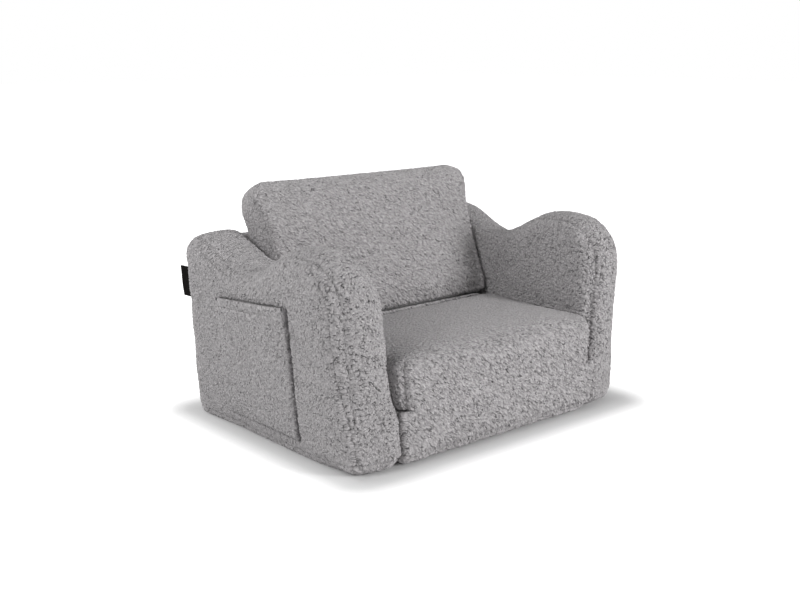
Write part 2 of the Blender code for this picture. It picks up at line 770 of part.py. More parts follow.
def bar(name, profile, start, length, place, colour, roughness):
    """A profile drawn out along X from `start`, carried to its place."""
    rows = [[tuple(place @ Vector((x, a, b))) for a, b in profile]
            for x in (start, start + length)]
    count = len(profile)
    faces = skin_faces(2, count, 0, True)
    faces.append(tuple(range(count)))
    faces.append(tuple(range(count, 2 * count)))
    return add_solid(name, rows[0] + rows[1], faces, colour, roughness, smooth=False)


def make_zip(label, length, place):
    """A zip and its slider, closed, the slider at the -X end."""
    bar(f"{label}_zip", zip_profile(), -length / 2, length, place, GREY_TAPE, 0.8)
    bar(f"{label}_zip_slider", slider_profile(), -length / 2 + SLIDER_MARGIN, SLIDER_LENGTH,
        place, DARK_CLOTH, 0.4)


def make_zips():
    """One zip each on the seat's rear edge, the back's foot and the frame's rear."""
    level = Vector((1, 0, 0))
    seat_length = 2 * (seat_half_width() - CUSHION_ZIP_INSET)
    back_length = 2 * (back_half_width() - CUSHION_ZIP_INSET)
    frame_length = 2 * (between_arms(FRAME_ZIP_HEIGHT) - FRAME_ZIP_INSET)
    seat_face = Vector((0, SEAT_REAR + GAP, SEAT_TOP - SEAT_ZIP_FROM_TOP))
    rear_face = Vector((0, REAR_FACE + GAP, FRAME_ZIP_HEIGHT))
    upright = Matrix(((1, 0, 0), (0, 0, 1), (0, 1, 0)))
    for label, face, length in (("seat", seat_face, seat_length),
                                ("frame", rear_face, frame_length)):
        make_zip(label, length, Matrix.Translation(face) @ upright.to_4x4())
    foot = Vector((0, FOLD_Y, FOLD_Z)) + UP_SLOPE * (REAR_HINGE_REACH - GAP)
    foot += REARWARD * BACK_ZIP_FROM_FRONT
    turn = Matrix((level, REARWARD, -UP_SLOPE)).transposed()
    make_zip("back", back_length, Matrix.Translation(foot) @ turn.to_4x4())


make_arm("left", -1)
make_arm("right", 1)
make_base()
make_sole()
make_cushions()
make_pocket()
make_tab()
make_zips()
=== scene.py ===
"""A child's flip-open foam armchair in grey curly fleece: its finish, piece by piece."""

import math

import bmesh
import bpy
import numpy as np
from mathutils import Matrix, Vector, kdtree
from mathutils.bvhtree import BVHTree


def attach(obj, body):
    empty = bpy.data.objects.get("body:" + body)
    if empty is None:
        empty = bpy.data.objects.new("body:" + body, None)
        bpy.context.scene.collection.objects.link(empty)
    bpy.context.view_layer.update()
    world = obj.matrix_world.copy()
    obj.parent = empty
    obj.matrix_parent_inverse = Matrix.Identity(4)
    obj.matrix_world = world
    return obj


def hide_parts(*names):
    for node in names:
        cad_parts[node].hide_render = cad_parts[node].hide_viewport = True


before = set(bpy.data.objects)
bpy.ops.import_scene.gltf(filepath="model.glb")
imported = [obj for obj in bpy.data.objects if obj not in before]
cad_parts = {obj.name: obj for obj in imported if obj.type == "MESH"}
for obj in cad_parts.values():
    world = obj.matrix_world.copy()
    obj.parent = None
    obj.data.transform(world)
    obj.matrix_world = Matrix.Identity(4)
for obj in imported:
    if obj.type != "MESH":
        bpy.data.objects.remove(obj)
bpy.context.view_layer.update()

# The view: the chair is seen from its front left, a little above the seat, from about
# 1.7 m, with a lens a bit longer than normal.
VIEW_AZIMUTH = math.radians(-40.76)
VIEW_ELEVATION = math.radians(13.03)
VIEW_DISTANCE = 1.699
VIEW_AIM = Vector((-0.0418, -0.0232, 0.1829))
VIEW_LENS = 49.5

view_back = Vector((math.sin(VIEW_AZIMUTH) * math.cos(VIEW_ELEVATION),
                    -math.cos(VIEW_AZIMUTH) * math.cos(VIEW_ELEVATION),
                    math.sin(VIEW_ELEVATION)))
bpy.ops.object.camera_add(location=VIEW_AIM + view_back * VIEW_DISTANCE)
camera = bpy.context.object
camera.rotation_euler = (-view_back).to_track_quat("-Z", "Y").to_euler()
camera.data.lens = VIEW_LENS
bpy.context.scene.camera = camera

# The floor: a white studio sweep without an edge, which keeps the chair's soft shadow.
# To the camera, straight or in gloss, it is a little darker by the chair's foot, a painted
# shadow, and lifts to full white further out.
FLOOR_WIDTH = 30
FLOOR_WHITE = (0.92, 0.92, 0.92, 1)
FLOOR_SEEN = (0.68, 0.68, 0.68, 1)
FOOT_HALF = (0.262, 0.198, 0)
FLOOR_LIFTS = ((0.0, 0.0), (0.02, 0.06), (0.04, 0.26), (0.08, 0.72), (0.14, 1.0), (1.0, 1.0))
LIFT_FAR = 0.99

bpy.ops.mesh.primitive_plane_add(size=FLOOR_WIDTH)
floor = bpy.context.object
floor.name = "studio_floor"


def add_node(tree, kind, inputs=None, **settings):
    """A new node with its settings, then its inputs, each a socket or a plain value."""
    made = tree.nodes.new(kind)
    for name, value in settings.items():
        setattr(made, name, value)
    for key, value in (inputs or {}).items():
        if isinstance(value, bpy.types.NodeSocket):
            tree.links.new(value, made.inputs[key])
        else:
            made.inputs[key].default_value = value
    return made


def maths(tree, operation, *values):
    """A maths node; each value is a socket or a number."""
    return add_node(tree, "ShaderNodeMath", dict(enumerate(values)), operation=operation).outputs[0]


def vector_maths(tree, operation, *values):
    """A vector maths node; each value is a socket or three numbers."""
    made = add_node(tree, "ShaderNodeVectorMath", dict(enumerate(values)), operation=operation)
    return made.outputs["Vector"]


def seen_by_camera(tree):
    """A factor that is 1 for what the camera sees, straight or in gloss or glass."""
    rays = tree.nodes.new("ShaderNodeLightPath").outputs
    seen = maths(tree, "MAXIMUM", rays["Is Camera Ray"], rays["Is Glossy Ray"])
    return maths(tree, "MAXIMUM", seen, rays["Is Transmission Ray"])


floor_paint = bpy.data.materials.new("white_floor")
floor_paint.use_nodes = True
floor_tree = floor_paint.node_tree
floor_tree.nodes.clear()
floor_seen = seen_by_camera(floor_tree)
floor_shade = add_node(floor_tree, "ShaderNodeMix",
                       {"Factor": floor_seen, "A": FLOOR_WHITE, "B": FLOOR_SEEN}, data_type="RGBA")
floor_matt = add_node(floor_tree, "ShaderNodeBsdfDiffuse", {"Color": floor_shade.outputs["Result"]})
floor_place = floor_tree.nodes.new("ShaderNodeTexCoord")
# Painted shadow: the floor's glow is least round the chair's footprint and grows with distance from it.
from_middle = vector_maths(floor_tree, "ABSOLUTE", floor_place.outputs["Object"])
past_foot = vector_maths(floor_tree, "SUBTRACT", from_middle, FOOT_HALF)
outside = vector_maths(floor_tree, "MAXIMUM", past_foot, (0, 0, 0))
from_chair = add_node(floor_tree, "ShaderNodeVectorMath", {0: outside}, operation="LENGTH")
up_to_far = maths(floor_tree, "MINIMUM", from_chair.outputs["Value"], LIFT_FAR)
lift_here = add_node(floor_tree, "ShaderNodeFloatCurve", {"Value": up_to_far})
lift_curve = lift_here.mapping.curves[0]
lift_curve.points[0].location = FLOOR_LIFTS[0]
lift_curve.points[1].location = FLOOR_LIFTS[-1]
for place, value in FLOOR_LIFTS[1:-1]:
    lift_curve.points.new(place, value)
lift_here.mapping.update()
lift = maths(floor_tree, "MULTIPLY", floor_seen, lift_here.outputs["Value"])
floor_glow = add_node(floor_tree, "ShaderNodeEmission", {"Strength": lift})
floor_sum = add_node(floor_tree, "ShaderNodeAddShader",
                     {0: floor_matt.outputs[0], 1: floor_glow.outputs[0]})
add_node(floor_tree, "ShaderNodeOutputMaterial", {"Surface": floor_sum.outputs[0]})
floor.data.materials.append(floor_paint)

# The light: an even white room, a soft lamp before the chair on its right, a weaker
# one on its left and one behind it.
ROOM_LIGHT = 0.40
LAMPS = (("front_lamp", (1.2, -2.7, 1.05), 0.9, 63),
         ("left_lamp", (-2.5, -0.2, 1.6), 1.1, 27),
         ("rear_lamp", (-1.3, 2.2, 2.0), 1.8, 34))
LAMP_AIM = Vector((0, 0, 0.15))

room = bpy.data.worlds.new("white_room")
bpy.context.scene.world = room
room.use_nodes = True
room_tree = room.node_tree
room_tree.nodes.clear()
room_strength = add_node(room_tree, "ShaderNodeMapRange",
                         {"Value": seen_by_camera(room_tree), "To Min": ROOM_LIGHT, "To Max": 1})
room_white = add_node(room_tree, "ShaderNodeBackground",
                      {"Color": (1, 1, 1, 1), "Strength": room_strength.outputs["Result"]})
add_node(room_tree, "ShaderNodeOutputWorld", {"Surface": room_white.outputs[0]})

for lamp_name, lamp_place, lamp_size, lamp_watts in LAMPS:
    bpy.ops.object.light_add(type="AREA", location=lamp_place)
    lamp = bpy.context.object
    lamp.name = lamp_name
    lamp.data.size = lamp_size
    lamp.data.energy = lamp_watts
    lamp.rotation_euler = (LAMP_AIM - lamp.location).to_track_quat("-Z", "Y").to_euler()

bpy.context.scene.view_settings.view_transform = "Standard"

# Arm covers: a slab of foam in a fleece cover of three panels, the outer and inner
# side panels and the band between them over front, top and rear. The seams are drawn
# in, and a hem runs round the foot.
ARM_MIDDLE = 0.2265
ARM_SPLAY = 0.10
SOLE_TOP = 0.0021
SOLE_MIDDLE_Y = -0.0037
OFF_FLOOR = 0.0004
ARM_NET = 0.0062
SAME_POINT = 0.0001
CLOTH_GROW = 0.0032
SWELL_FRAMES = 20
SWELL_PRESSURE = 4.0
OUTER_SEAM = 0.002
OUTER_SEAM_HIGH = -0.018
INNER_SEAM = 0.014
RIM_HALF = 0.012
FRONT_ROUND = 0.030
FRONT_ROUND_LOW = 0.018
LEAST_ROUND = 0.002
SEAT_SIDE_SHARPER = 0.013
BACK_SIDE_SHARPER = 0.012
TOP_ROUND = 0.014
TOP_FLATTER = 0.0055
INNER_FLATTER = 0.0095
BASE_BULGE = 0.0085
FOOT_LIFT = 0.0065
ARM_LIFT_RUN = (-0.19, -0.08)
FOOT_HIGH = (0.0, 0.03)
INNER_HALF = (-0.010, 0.010)
ARM_EVEN = 0.0012
LEFT_FULLNESS = 0.0048
RIGHT_FULLNESS = 0.0018
LEFT_REAR_FULLER = 0.0030
ARM_HEM_ROLL = 0.0026
SEAM_WIDTH = 0.0024
SEAM_DEPTH = 0.0040
SEAM_SHADE_SHARE = 0.7
HEM_HEIGHT = 0.0135
HEM_DEPTH = 0.0036
HEM_WIDTH = 0.0022
ARM_PILE = 0.0030
ARM_UNEVEN = 0.0026


def change(piece, kind, **settings):
    """Puts a modifier with its settings on a piece, and applies it."""
    bpy.context.view_layer.objects.active = piece
    made = piece.modifiers.new(kind, kind)
    for name, value in settings.items():
        setattr(made, name, value)
    bpy.ops.object.modifier_apply(modifier=made.name)


def foam_copy(name, nodes, net, reshape=None):
    """A copy of packed foam cores as one even net of quads, grown to the cloth's face."""
    made = bmesh.new()
    for node in nodes:
        made.from_mesh(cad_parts[node].data)
    bmesh.ops.remove_doubles(made, verts=made.verts, dist=SAME_POINT)
    if reshape:
        for vert in made.verts:
            vert.co = reshape(vert.co)
    mesh = bpy.data.meshes.new(name)
    made.to_mesh(mesh)
    made.free()
    cover = bpy.data.objects.new(name, mesh)
    bpy.context.scene.collection.objects.link(cover)
    change(cover, "REMESH", mode="VOXEL", voxel_size=net)
    change(cover, "SMOOTH", factor=0.5, iterations=3)
    change(cover, "DISPLACE", strength=CLOTH_GROW, mid_level=0)
    return cover


def points_of(mesh, field="vertices", key="co"):
    """Points, or normals, of a mesh as rows of three numbers."""
    values = np.empty(len(mesh.vertices) * 3)
    getattr(mesh, field).foreach_get(key, values)
    return values.reshape(-1, 3)


def place_points(mesh, points):
    """Puts the points of a mesh in their new places."""
    mesh.vertices.foreach_set("co", points.ravel())
    mesh.update()


def swell(cover, allowance):
    """Blows the cover up a little as cloth under air pressure, by `allowance` at most."""
    start = points_of(cover.data)
    cloth = cover.modifiers.new("air", "CLOTH")
    cloth.settings.quality = 4
    cloth.settings.use_pressure = True
    cloth.settings.uniform_pressure_force = SWELL_PRESSURE
    cloth.settings.effector_weights.gravity = 0
    cloth.collision_settings.use_collision = False
    cloth.point_cache.frame_start = 1
    cloth.point_cache.frame_end = SWELL_FRAMES
    for step in range(1, SWELL_FRAMES + 1):
        bpy.context.scene.frame_set(step)
    bpy.context.view_layer.objects.active = cover
    bpy.ops.object.modifier_apply(modifier=cloth.name)
    bpy.context.scene.frame_set(1)
    moved = points_of(cover.data) - start
    length = np.linalg.norm(moved, axis=1, keepdims=True)
    cap = np.maximum(allowance(start)[:, None], 1e-5)
    moved *= cap * np.tanh(length / cap) / np.maximum(length, 1e-9)
    place_points(cover.data, start + moved)


def refine(cover):
    """Finer quads, smooth between the old ones."""
    change(cover, "SUBSURF", levels=2, render_levels=2)


def fade(value, near, far):
    """1 up to `near`, 0 from `far` on, smooth between."""
    share = np.clip((value - near) / (far - near), 0, 1)
    return 1 - share * share * (3 - 2 * share)


def sink(cover, depth):
    """Moves each point inward along its normal by its own depth."""
    normals = points_of(cover.data, "vertex_normals", "vector")
    place_points(cover.data, points_of(cover.data) - normals * depth[:, None])


def groove(distance, depth, width):
    """Depth of a drawn-in seam at each point, from its distance to the seam's line."""
    return depth * np.exp(-(distance / width) ** 2)


def ease(tree, value, low, high, to_low=0.0, to_high=1.0):
    """A smooth step between two values."""
    made = add_node(tree, "ShaderNodeMapRange",
                    {"Value": value, "From Min": low, "From Max": high,
                     "To Min": to_low, "To Max": to_high},
                    interpolation_type="SMOOTHSTEP")
    return made.outputs["Result"]


def noise(tree, place, size, detail=1.0, output="Fac"):
    """Noise in lumps that are about `size` metres across."""
    made = add_node(tree, "ShaderNodeTexNoise", {"Vector": place, "Scale": 1 / size, "Detail": detail})
    return made.outputs[output]


# Sizes of the fleece's curls, shared by its mesh and its finish
CURL = 0.0038
CURL_SLOPE = (0.15, 0.80)
CURL_DIP = 0.45
CURL_TURN = 0.0045
CURL_BEND = 0.0013
PATCHES = 0.0048
CRACKED_PATCH = (0.50, 0.59)
CRACK = 0.17
FIBRES = 0.0021
FOLDS = 0.0085
FOLD_WIDTH = 0.042
FOLD_PATCHES = 0.0055
FOLDED_PATCH = (0.47, 0.52)
LUMPS = 0.014
LUMP_SHARE = 0.5
WAVES = 0.045
LAID_FLAT = 0.8
COMBED = (0.45, 1.1, 1)
DIAGONAL = ((0.819, 0, -0.574), (0, 1, 0), (0.574, 0, 0.819))


def cells(tree, place, feature):
    """Distance to the middle, or to the edge, of the curl that a place lies in."""
    nubs = add_node(tree, "ShaderNodeTexVoronoi", {"Scale": 1 / CURL, "Vector": place}, feature=feature)
    return nubs.outputs["Distance"]


def curls(tree, root, cracked, creased):
    """Height of the curly pile: 1 on a curl, less between curls, 0 in a crack or a crease.

    Cracks run short between curls, creases along the way that the pile is combed.
    """
    swing = vector_maths(tree, "SUBTRACT", noise(tree, root, CURL_TURN, output="Color"), (0.5, 0.5, 0.5))
    bent = vector_maths(tree, "MULTIPLY_ADD", swing, (CURL_BEND, CURL_BEND, CURL_BEND), root)
    between = ease(tree, cells(tree, bent, "F1"), *CURL_SLOPE, 0.0, CURL_DIP)
    crack = ease(tree, cells(tree, bent, "DISTANCE_TO_EDGE"), 0.0, CRACK, 1.0, 0.0)
    crack = maths(tree, "MULTIPLY", crack, ease(tree, noise(tree, root, PATCHES), *CRACKED_PATCH))
    away = maths(tree, "ABSOLUTE", maths(tree, "SUBTRACT", noise(tree, root, FOLDS), 0.5))
    folded = ease(tree, noise(tree, root, FOLD_PATCHES), *FOLDED_PATCH)
    fold = maths(tree, "MULTIPLY", ease(tree, away, 0.0, FOLD_WIDTH, 1.0, 0.0), folded)
    deepest = maths(tree, "MAXIMUM", maths(tree, "MULTIPLY", crack, cracked),
                    maths(tree, "MULTIPLY", fold, creased))
    return maths(tree, "SUBTRACT", 1.0, maths(tree, "MAXIMUM", between, deepest))


def keep_roots(mesh, roots, **shares):
    """Keeps each point's place in the cloth without its pile, and its shares from 0 to 1."""
    place = mesh.attributes.new("root", "FLOAT_VECTOR", "POINT")
    place.data.foreach_set("vector", roots.astype(np.float32).ravel())
    for name, values in shares.items():
        kept = mesh.attributes.new(name, "FLOAT", "POINT")
        filled = np.zeros(len(roots)) + np.clip(values, 0, 1)
        kept.data.foreach_set("value", filled.astype(np.float32))


def raise_pile(cover, tall, uneven, lean=(0, 0, -0.25), comb=(1, 1, 1), turn=None, pressed=0, seam=0,
               cracked=0, creased=0):
    """Stands the fleece's curls up on a cover.

    `uneven` is the cloth's slow waviness, `lean` is where the curls' tips point, `comb`
    draws them out, and `turn` swings them. The shares are one for all points or one for
    each: `pressed` where the pile lies flat, `seam` for painted shade along a drawn-in seam,
    `cracked` and `creased` where its cracks and creases are deep.
    """
    roots = points_of(cover.data)
    if turn is not None:
        roots = roots @ np.array(turn).T
    keep_roots(cover.data, roots * np.array(comb), pressed=pressed, seam=seam,
               cracked=cracked, creased=creased)

    tree = bpy.data.node_groups.new("pile", "GeometryNodeTree")
    for way in ("INPUT", "OUTPUT"):
        tree.interface.new_socket("Geometry", in_out=way, socket_type="NodeSocketGeometry")
    root, flat, cracks, creases = [
        add_node(tree, "GeometryNodeInputNamedAttribute", {"Name": name},
                 data_type=kind).outputs["Attribute"]
        for name, kind in (("root", "FLOAT_VECTOR"), ("pressed", "FLOAT"), ("cracked", "FLOAT"),
                           ("creased", "FLOAT"))]
    free = maths(tree, "SUBTRACT", 1.0, maths(tree, "MULTIPLY", flat, LAID_FLAT))
    height = maths(tree, "ADD", maths(tree, "MULTIPLY", curls(tree, root, cracks, creases), tall),
                   maths(tree, "MULTIPLY", noise(tree, root, LUMPS), tall * LUMP_SHARE))
    height = maths(tree, "ADD", height, maths(tree, "MULTIPLY", noise(tree, root, WAVES), uneven))
    height = maths(tree, "MULTIPLY", height, free)
    normal = tree.nodes.new("GeometryNodeInputNormal")
    tip = vector_maths(tree, "ADD", normal.outputs[0], lean)
    stand = add_node(tree, "ShaderNodeVectorMath", {0: tip, "Scale": height}, operation="SCALE")
    came = tree.nodes.new("NodeGroupInput")
    move = add_node(tree, "GeometryNodeSetPosition",
                    {"Geometry": came.outputs[0], "Offset": stand.outputs["Vector"]})
    add_node(tree, "NodeGroupOutput", {0: move.outputs[0]})
    change(cover, "NODES", node_group=tree)
    bpy.data.node_groups.remove(tree)
    cover.data.shade_smooth()


def new_finish(name, surface):
    """A material with its shader's plain values set, its node tree and its shader."""
    made = bpy.data.materials.new(name)
    made.use_nodes = True
    shader = made.node_tree.nodes["Principled BSDF"]
    for key, value in surface.items():
        shader.inputs[key].default_value = value
    return made, made.node_tree, shader


def ramp(tree, value, dark, light):
    """A ramp from a dark to a light colour."""
    made = add_node(tree, "ShaderNodeValToRGB", {"Fac": value})
    made.color_ramp.elements[0].color = dark
    made.color_ramp.elements[1].color = light
    return made


def mixed(tree, share, first, second, kind="RGBA"):
    """The first colour, or number, and as much of the second as the share says."""
    made = add_node(tree, "ShaderNodeMix", {"Factor": share, "A": first, "B": second}, data_type=kind)
    return made.outputs["Result"]


def colour_and_bump(tree, shader, colour, height, depth):
    """Gives a shader its colour, and its fine relief of a depth."""
    bump = add_node(tree, "ShaderNodeBump", {"Distance": depth, "Height": height})
    tree.links.new(colour, shader.inputs["Base Color"])
    tree.links.new(bump.outputs["Normal"], shader.inputs["Normal"])


FLEECE_CREVICE_SHADE = (0.020, 0.019, 0.0195, 1)
FLEECE_BODY = (0.292, 0.280, 0.285, 1)
FLEECE_BODY_AT = 0.40
FLEECE_PALE = (0.515, 0.494, 0.503, 1)
FLEECE_PRESSED_DARKER = (0.22, 0.211, 0.215, 1)
FLEECE_SEAM_SHADE = (0.060, 0.056, 0.058, 1)
FLEECE_SURFACE = {"Roughness": 0.95, "Specular IOR Level": 0.1, "Sheen Weight": 0.2, "Sheen Roughness": 0.6}
CURL_SHARE = 0.64
FIBRE_SHARE = 0.36
FIBRE_EDGE = (0.32, 0.68)
PRESSED_EVEN = 0.4
PRESSED_HEIGHT = 0.75
PRESSED_DARK_MOST = 0.45
PRESSED_DARK_SHARE = 0.32
SEAM_SHADE_BREAKS = 0.006
SEAM_SHADE_SHOWS = (0.32, 0.55, 0.45, 0.95)
FLEECE_RELIEF = 0.0032


def fleece(name):
    """Finish of the curly fleece: pale curls, painted shade in cracks, creases and seams, fine matt fibres.
    """
    made, tree, shader = new_finish(name, FLEECE_SURFACE)
    root = add_node(tree, "ShaderNodeAttribute", attribute_name="root").outputs["Vector"]
    pressing, cracked, creased, sewn = [
        add_node(tree, "ShaderNodeAttribute", attribute_name=share).outputs["Fac"]
        for share in ("pressed", "cracked", "creased", "seam")]
    fibres = ease(tree, noise(tree, root, FIBRES, 2.0), *FIBRE_EDGE)
    ply = maths(tree, "ADD", maths(tree, "MULTIPLY", curls(tree, root, cracked, creased), CURL_SHARE),
                maths(tree, "MULTIPLY", fibres, FIBRE_SHARE))
    even = maths(tree, "MULTIPLY", pressing, PRESSED_EVEN)
    soft = mixed(tree, even, ply, PRESSED_HEIGHT, "FLOAT")
    # Painted shade: the lower the pile, the darker, down to near black deep in its cracks and creases.
    shade = ramp(tree, soft, FLEECE_CREVICE_SHADE, FLEECE_PALE)
    shade.color_ramp.elements.new(FLEECE_BODY_AT).color = FLEECE_BODY
    # Darker where the pile is pressed flat, up to a limit.
    pressed_dark = maths(tree, "MULTIPLY", maths(tree, "MINIMUM", pressing, PRESSED_DARK_MOST), PRESSED_DARK_SHARE)
    colour = mixed(tree, pressed_dark, shade.outputs["Color"], FLEECE_PRESSED_DARKER)
    # Painted shade along the seams' grooves, broken in places: the seam share darkens the colour.
    seam_shade_shown = ease(tree, noise(tree, root, SEAM_SHADE_BREAKS), *SEAM_SHADE_SHOWS)
    colour = mixed(tree, maths(tree, "MULTIPLY", sewn, seam_shade_shown), colour, FLEECE_SEAM_SHADE)
    colour_and_bump(tree, shader, colour, soft, FLEECE_RELIEF)
    return made


def off_floor(cover):
    """Keeps the pile of a cover's foot just off the floor, and off the sole's cloth."""
    points = points_of(cover.data)
    over = fade(np.abs(points[:, 0]), 0.239, 0.242)
    over *= fade(np.abs(points[:, 1] - SOLE_MIDDLE_Y), 0.1775, 0.180)
    points[:, 2] = np.maximum(points[:, 2], OFF_FLOOR + (SOLE_TOP - OFF_FLOOR) * over)
    place_points(cover.data, points)


def off_middle(points, side):
    """Distance of each point outward from the middle plane of an arm."""
    return side * points[:, 0] - ARM_MIDDLE - ARM_SPLAY * points[:, 2]


# Pocket: its outline on the outer face of the left arm, with a mouth that drops rearward
POCKET_FRONT = -0.0790
POCKET_REAR = 0.0940
POCKET_FOOT = 0.0310
POCKET_TOP = 0.2195
POCKET_DROP = 0.0150
POCKET_FLARE = 0.0065
POCKET_SEAM_OUT = 0.0018
POCKET_SEAM_WIDTH = 0.0026
POCKET_SEAM_DEPTH = 0.0032


def past_pocket(points):
    """How far each point lies past the pocket's nearest sewn edge; negative inside."""
    below = np.clip((POCKET_TOP - points[:, 2]) / (POCKET_TOP - POCKET_FOOT), 0, 1)
    return np.maximum.reduce([POCKET_FRONT - POCKET_FLARE * below - points[:, 1],
                              points[:, 1] - POCKET_REAR, POCKET_FOOT - points[:, 2]])


def pocket_mouth(points):
    """Height of the pocket's mouth at each point's distance from the front."""
    share = np.clip((points[:, 1] - POCKET_FRONT) / (POCKET_REAR - POCKET_FRONT), 0, 1)
    return POCKET_TOP - POCKET_DROP * share


def on_arm(cover, side):
    """Where each point of an arm lies: off its middle, in from its rim, and its rim's way out."""
    points = points_of(cover.data)
    normals = points_of(cover.data, "vertex_normals", "vector")
    off = off_middle(points, side)
    rim = np.flatnonzero(np.abs(off) < RIM_HALF)
    lookup = kdtree.KDTree(len(rim))
    for index in rim:
        lookup.insert((points[index, 1], points[index, 2], 0), index)
    lookup.balance()
    near = np.array([lookup.find((y, z, 0))[1] for y, z in points[:, 1:]])
    outward = normals[near, 1:]
    outward /= np.linalg.norm(outward, axis=1, keepdims=True)
    inside = np.maximum(np.sum((points[near, 1:] - points[:, 1:]) * outward, axis=1), 0)
    return off, inside, outward


def round_arm(cover, side):
    """Rounds the long edges of an arm, most at its front, and lets its top lie flatter."""
    points = points_of(cover.data)
    off, inside, outward = on_arm(cover, side)
    half = np.percentile(np.abs(off), 99)
    facing_up = np.clip(outward[:, 1], 0, 1)
    facing_front = np.clip(-outward[:, 0], 0, 1)
    by_back = fade(off, -0.010, 0.010) * (1 - fade(points[:, 1], -0.02, 0.05))
    flatter = TOP_FLATTER + INNER_FLATTER * by_back
    points[:, 2] += flatter * (off / half) ** 2 * facing_up ** 2 * fade(inside, 0, 0.06)
    high = 1 - fade(points[:, 2], 0.04, 0.16)
    low_round = FRONT_ROUND_LOW - SEAT_SIDE_SHARPER * fade(off, *INNER_HALF)
    on_hump = fade(points[:, 1], -0.12, -0.03)
    top_round = TOP_ROUND + (FRONT_ROUND - TOP_ROUND) * on_hump - BACK_SIDE_SHARPER * by_back
    radius = np.hypot(facing_front * (low_round + (FRONT_ROUND - low_round) * high), facing_up * top_round)
    radius = np.maximum(radius, LEAST_ROUND)
    u = 1 - (half - np.abs(off)) / radius
    v = 1 - inside / radius
    here = (u > 0) & (v > 0)
    scale = np.maximum(u, v)[here] / np.hypot(u, v)[here]
    points[here, 1:] += outward[here] * (v[here] * (scale - 1) * radius[here])[:, None]
    off[here] = np.sign(off[here]) * (half - radius[here] * (1 - u[here] * scale))
    by_base = fade(off, -0.022, 0.0) * facing_front ** 2 * fade(points[:, 2], 0.070, 0.100)
    by_base *= fade(inside, 0.0, 0.04)
    points[:, 1] -= BASE_BULGE * by_base
    points[:, 2] += FOOT_LIFT * fade(points[:, 2], *FOOT_HIGH) * fade(points[:, 1], *ARM_LIFT_RUN)
    points[:, 0] = side * (off + ARM_MIDDLE + ARM_SPLAY * points[:, 2])
    place_points(cover.data, points)


def make_arm_cover(label, side, fullness, rear_fuller, with_pocket):
    """One arm's cover; side is -1 or 1. Gives its form before the pile."""
    nodes = [f"arm_{label}_{part}" for part in ("foam", "gusset", "inner_panel", "outer_panel")]
    cover = foam_copy(f"arm_{label}_cover", nodes[:1], ARM_NET)
    round_arm(cover, side)

    def allowance(points):
        off = off_middle(points, side)
        outer = fade(-off, -0.030, 0.010)
        low = fade(points[:, 2], 0.0, 0.030)
        beside_seat = fade(points[:, 2], 0.165, 0.190) * fade(off, -0.034, -0.026)
        return (0.0015 + 0.0035 * outer) * (1 - 0.9 * low) * (1 - 0.9 * beside_seat)

    swell(cover, allowance)
    refine(cover)
    points = points_of(cover.data)
    low = fade(points[:, 2], 0.050, 0.250)
    outer = 1 - fade(off_middle(points, side), -0.030, -0.010)
    at_front = fade(points[:, 1], -0.185, -0.165)
    hem_roll = ARM_HEM_ROLL * fade(points[:, 2], 0.010, 0.015) * (0.4 + 0.6 * at_front)
    rear = rear_fuller * (1 - fade(points[:, 1], 0.08, 0.18))
    sink(cover, -(ARM_EVEN + (fullness + rear) * low + hem_roll) * outer)
    points = points_of(cover.data)
    off, rim_inside, rim_outward = on_arm(cover, side)
    half = np.percentile(np.abs(off), 98)
    round_rim = half - np.abs(off) - rim_inside
    over_foot = 1 - fade(points[:, 2], 0.004, 0.014)
    faces_front = np.clip(-rim_outward[:, 0], 0, 1)
    high = 1 - fade(points[:, 2], 0.03, 0.17)
    outer_line = OUTER_SEAM + (OUTER_SEAM_HIGH - OUTER_SEAM) * high * faces_front
    lines = groove(round_rim - outer_line, 1, SEAM_WIDTH) * (off > 0) * (0.12 + 0.88 * faces_front ** 2)
    lines += groove(round_rim - INNER_SEAM, 0.75, SEAM_WIDTH) * (off < 0) * (0.10 + 0.90 * faces_front ** 2)
    lines *= over_foot
    hem = points[:, 2] - HEM_HEIGHT - FOOT_LIFT * fade(points[:, 1], *ARM_LIFT_RUN)
    lines += groove(hem, 0.9, HEM_WIDTH) * (0.35 + 0.65 * at_front)
    depth = lines * SEAM_DEPTH
    inside = fade(off, -0.034, -0.028)
    pressed = inside * fade(points[:, 2], 0.138, 0.152) * fade(-points[:, 1], 0.185, 0.200)
    pressed = np.maximum(pressed, fade(points[:, 2], 0.002, 0.005))
    if with_pocket:
        past = past_pocket(points)
        below_mouth = fade(points[:, 2] - pocket_mouth(points), -0.001, 0.003)
        on_side = 1 - fade(off, 0.020, 0.030)
        beside = groove(past - POCKET_SEAM_OUT, 1, POCKET_SEAM_WIDTH) * below_mouth * on_side
        depth += POCKET_SEAM_DEPTH * beside
        # Painted shade along the pocket's seams joins the seam share.
        lines += beside * (0.35 + 0.65 * (points[:, 1] < 0))
        pressed = np.maximum(pressed, fade(past, -0.002, 0.0005) * below_mouth * on_side)
    sink(cover, depth)
    form = BVHTree.FromPolygons([vert.co.copy() for vert in cover.data.vertices],
                                [tuple(face.vertices) for face in cover.data.polygons])
    toward_front = fade(points[:, 1], -0.195, -0.110) * (1 - fade(points[:, 2], 0.02, 0.06))
    # The seam share is painted shade along the seams, the hem and the pocket's edges, over their real
    # grooves.
    raise_pile(cover, ARM_PILE, ARM_UNEVEN, lean=(-0.15 * side, 0, -0.3), pressed=pressed,
               seam=SEAM_SHADE_SHARE * lines, cracked=0.80 + 0.20 * toward_front)
    off_floor(cover)
    cover.data.materials.append(fleece(f"arm_{label}_fleece"))
    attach(cover, "frame")
    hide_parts(*nodes)
    return form


arm_left_form = make_arm_cover("left", -1, LEFT_FULLNESS, LEFT_REAR_FULLER, True)
make_arm_cover("right", 1, RIGHT_FULLNESS, 0, False)

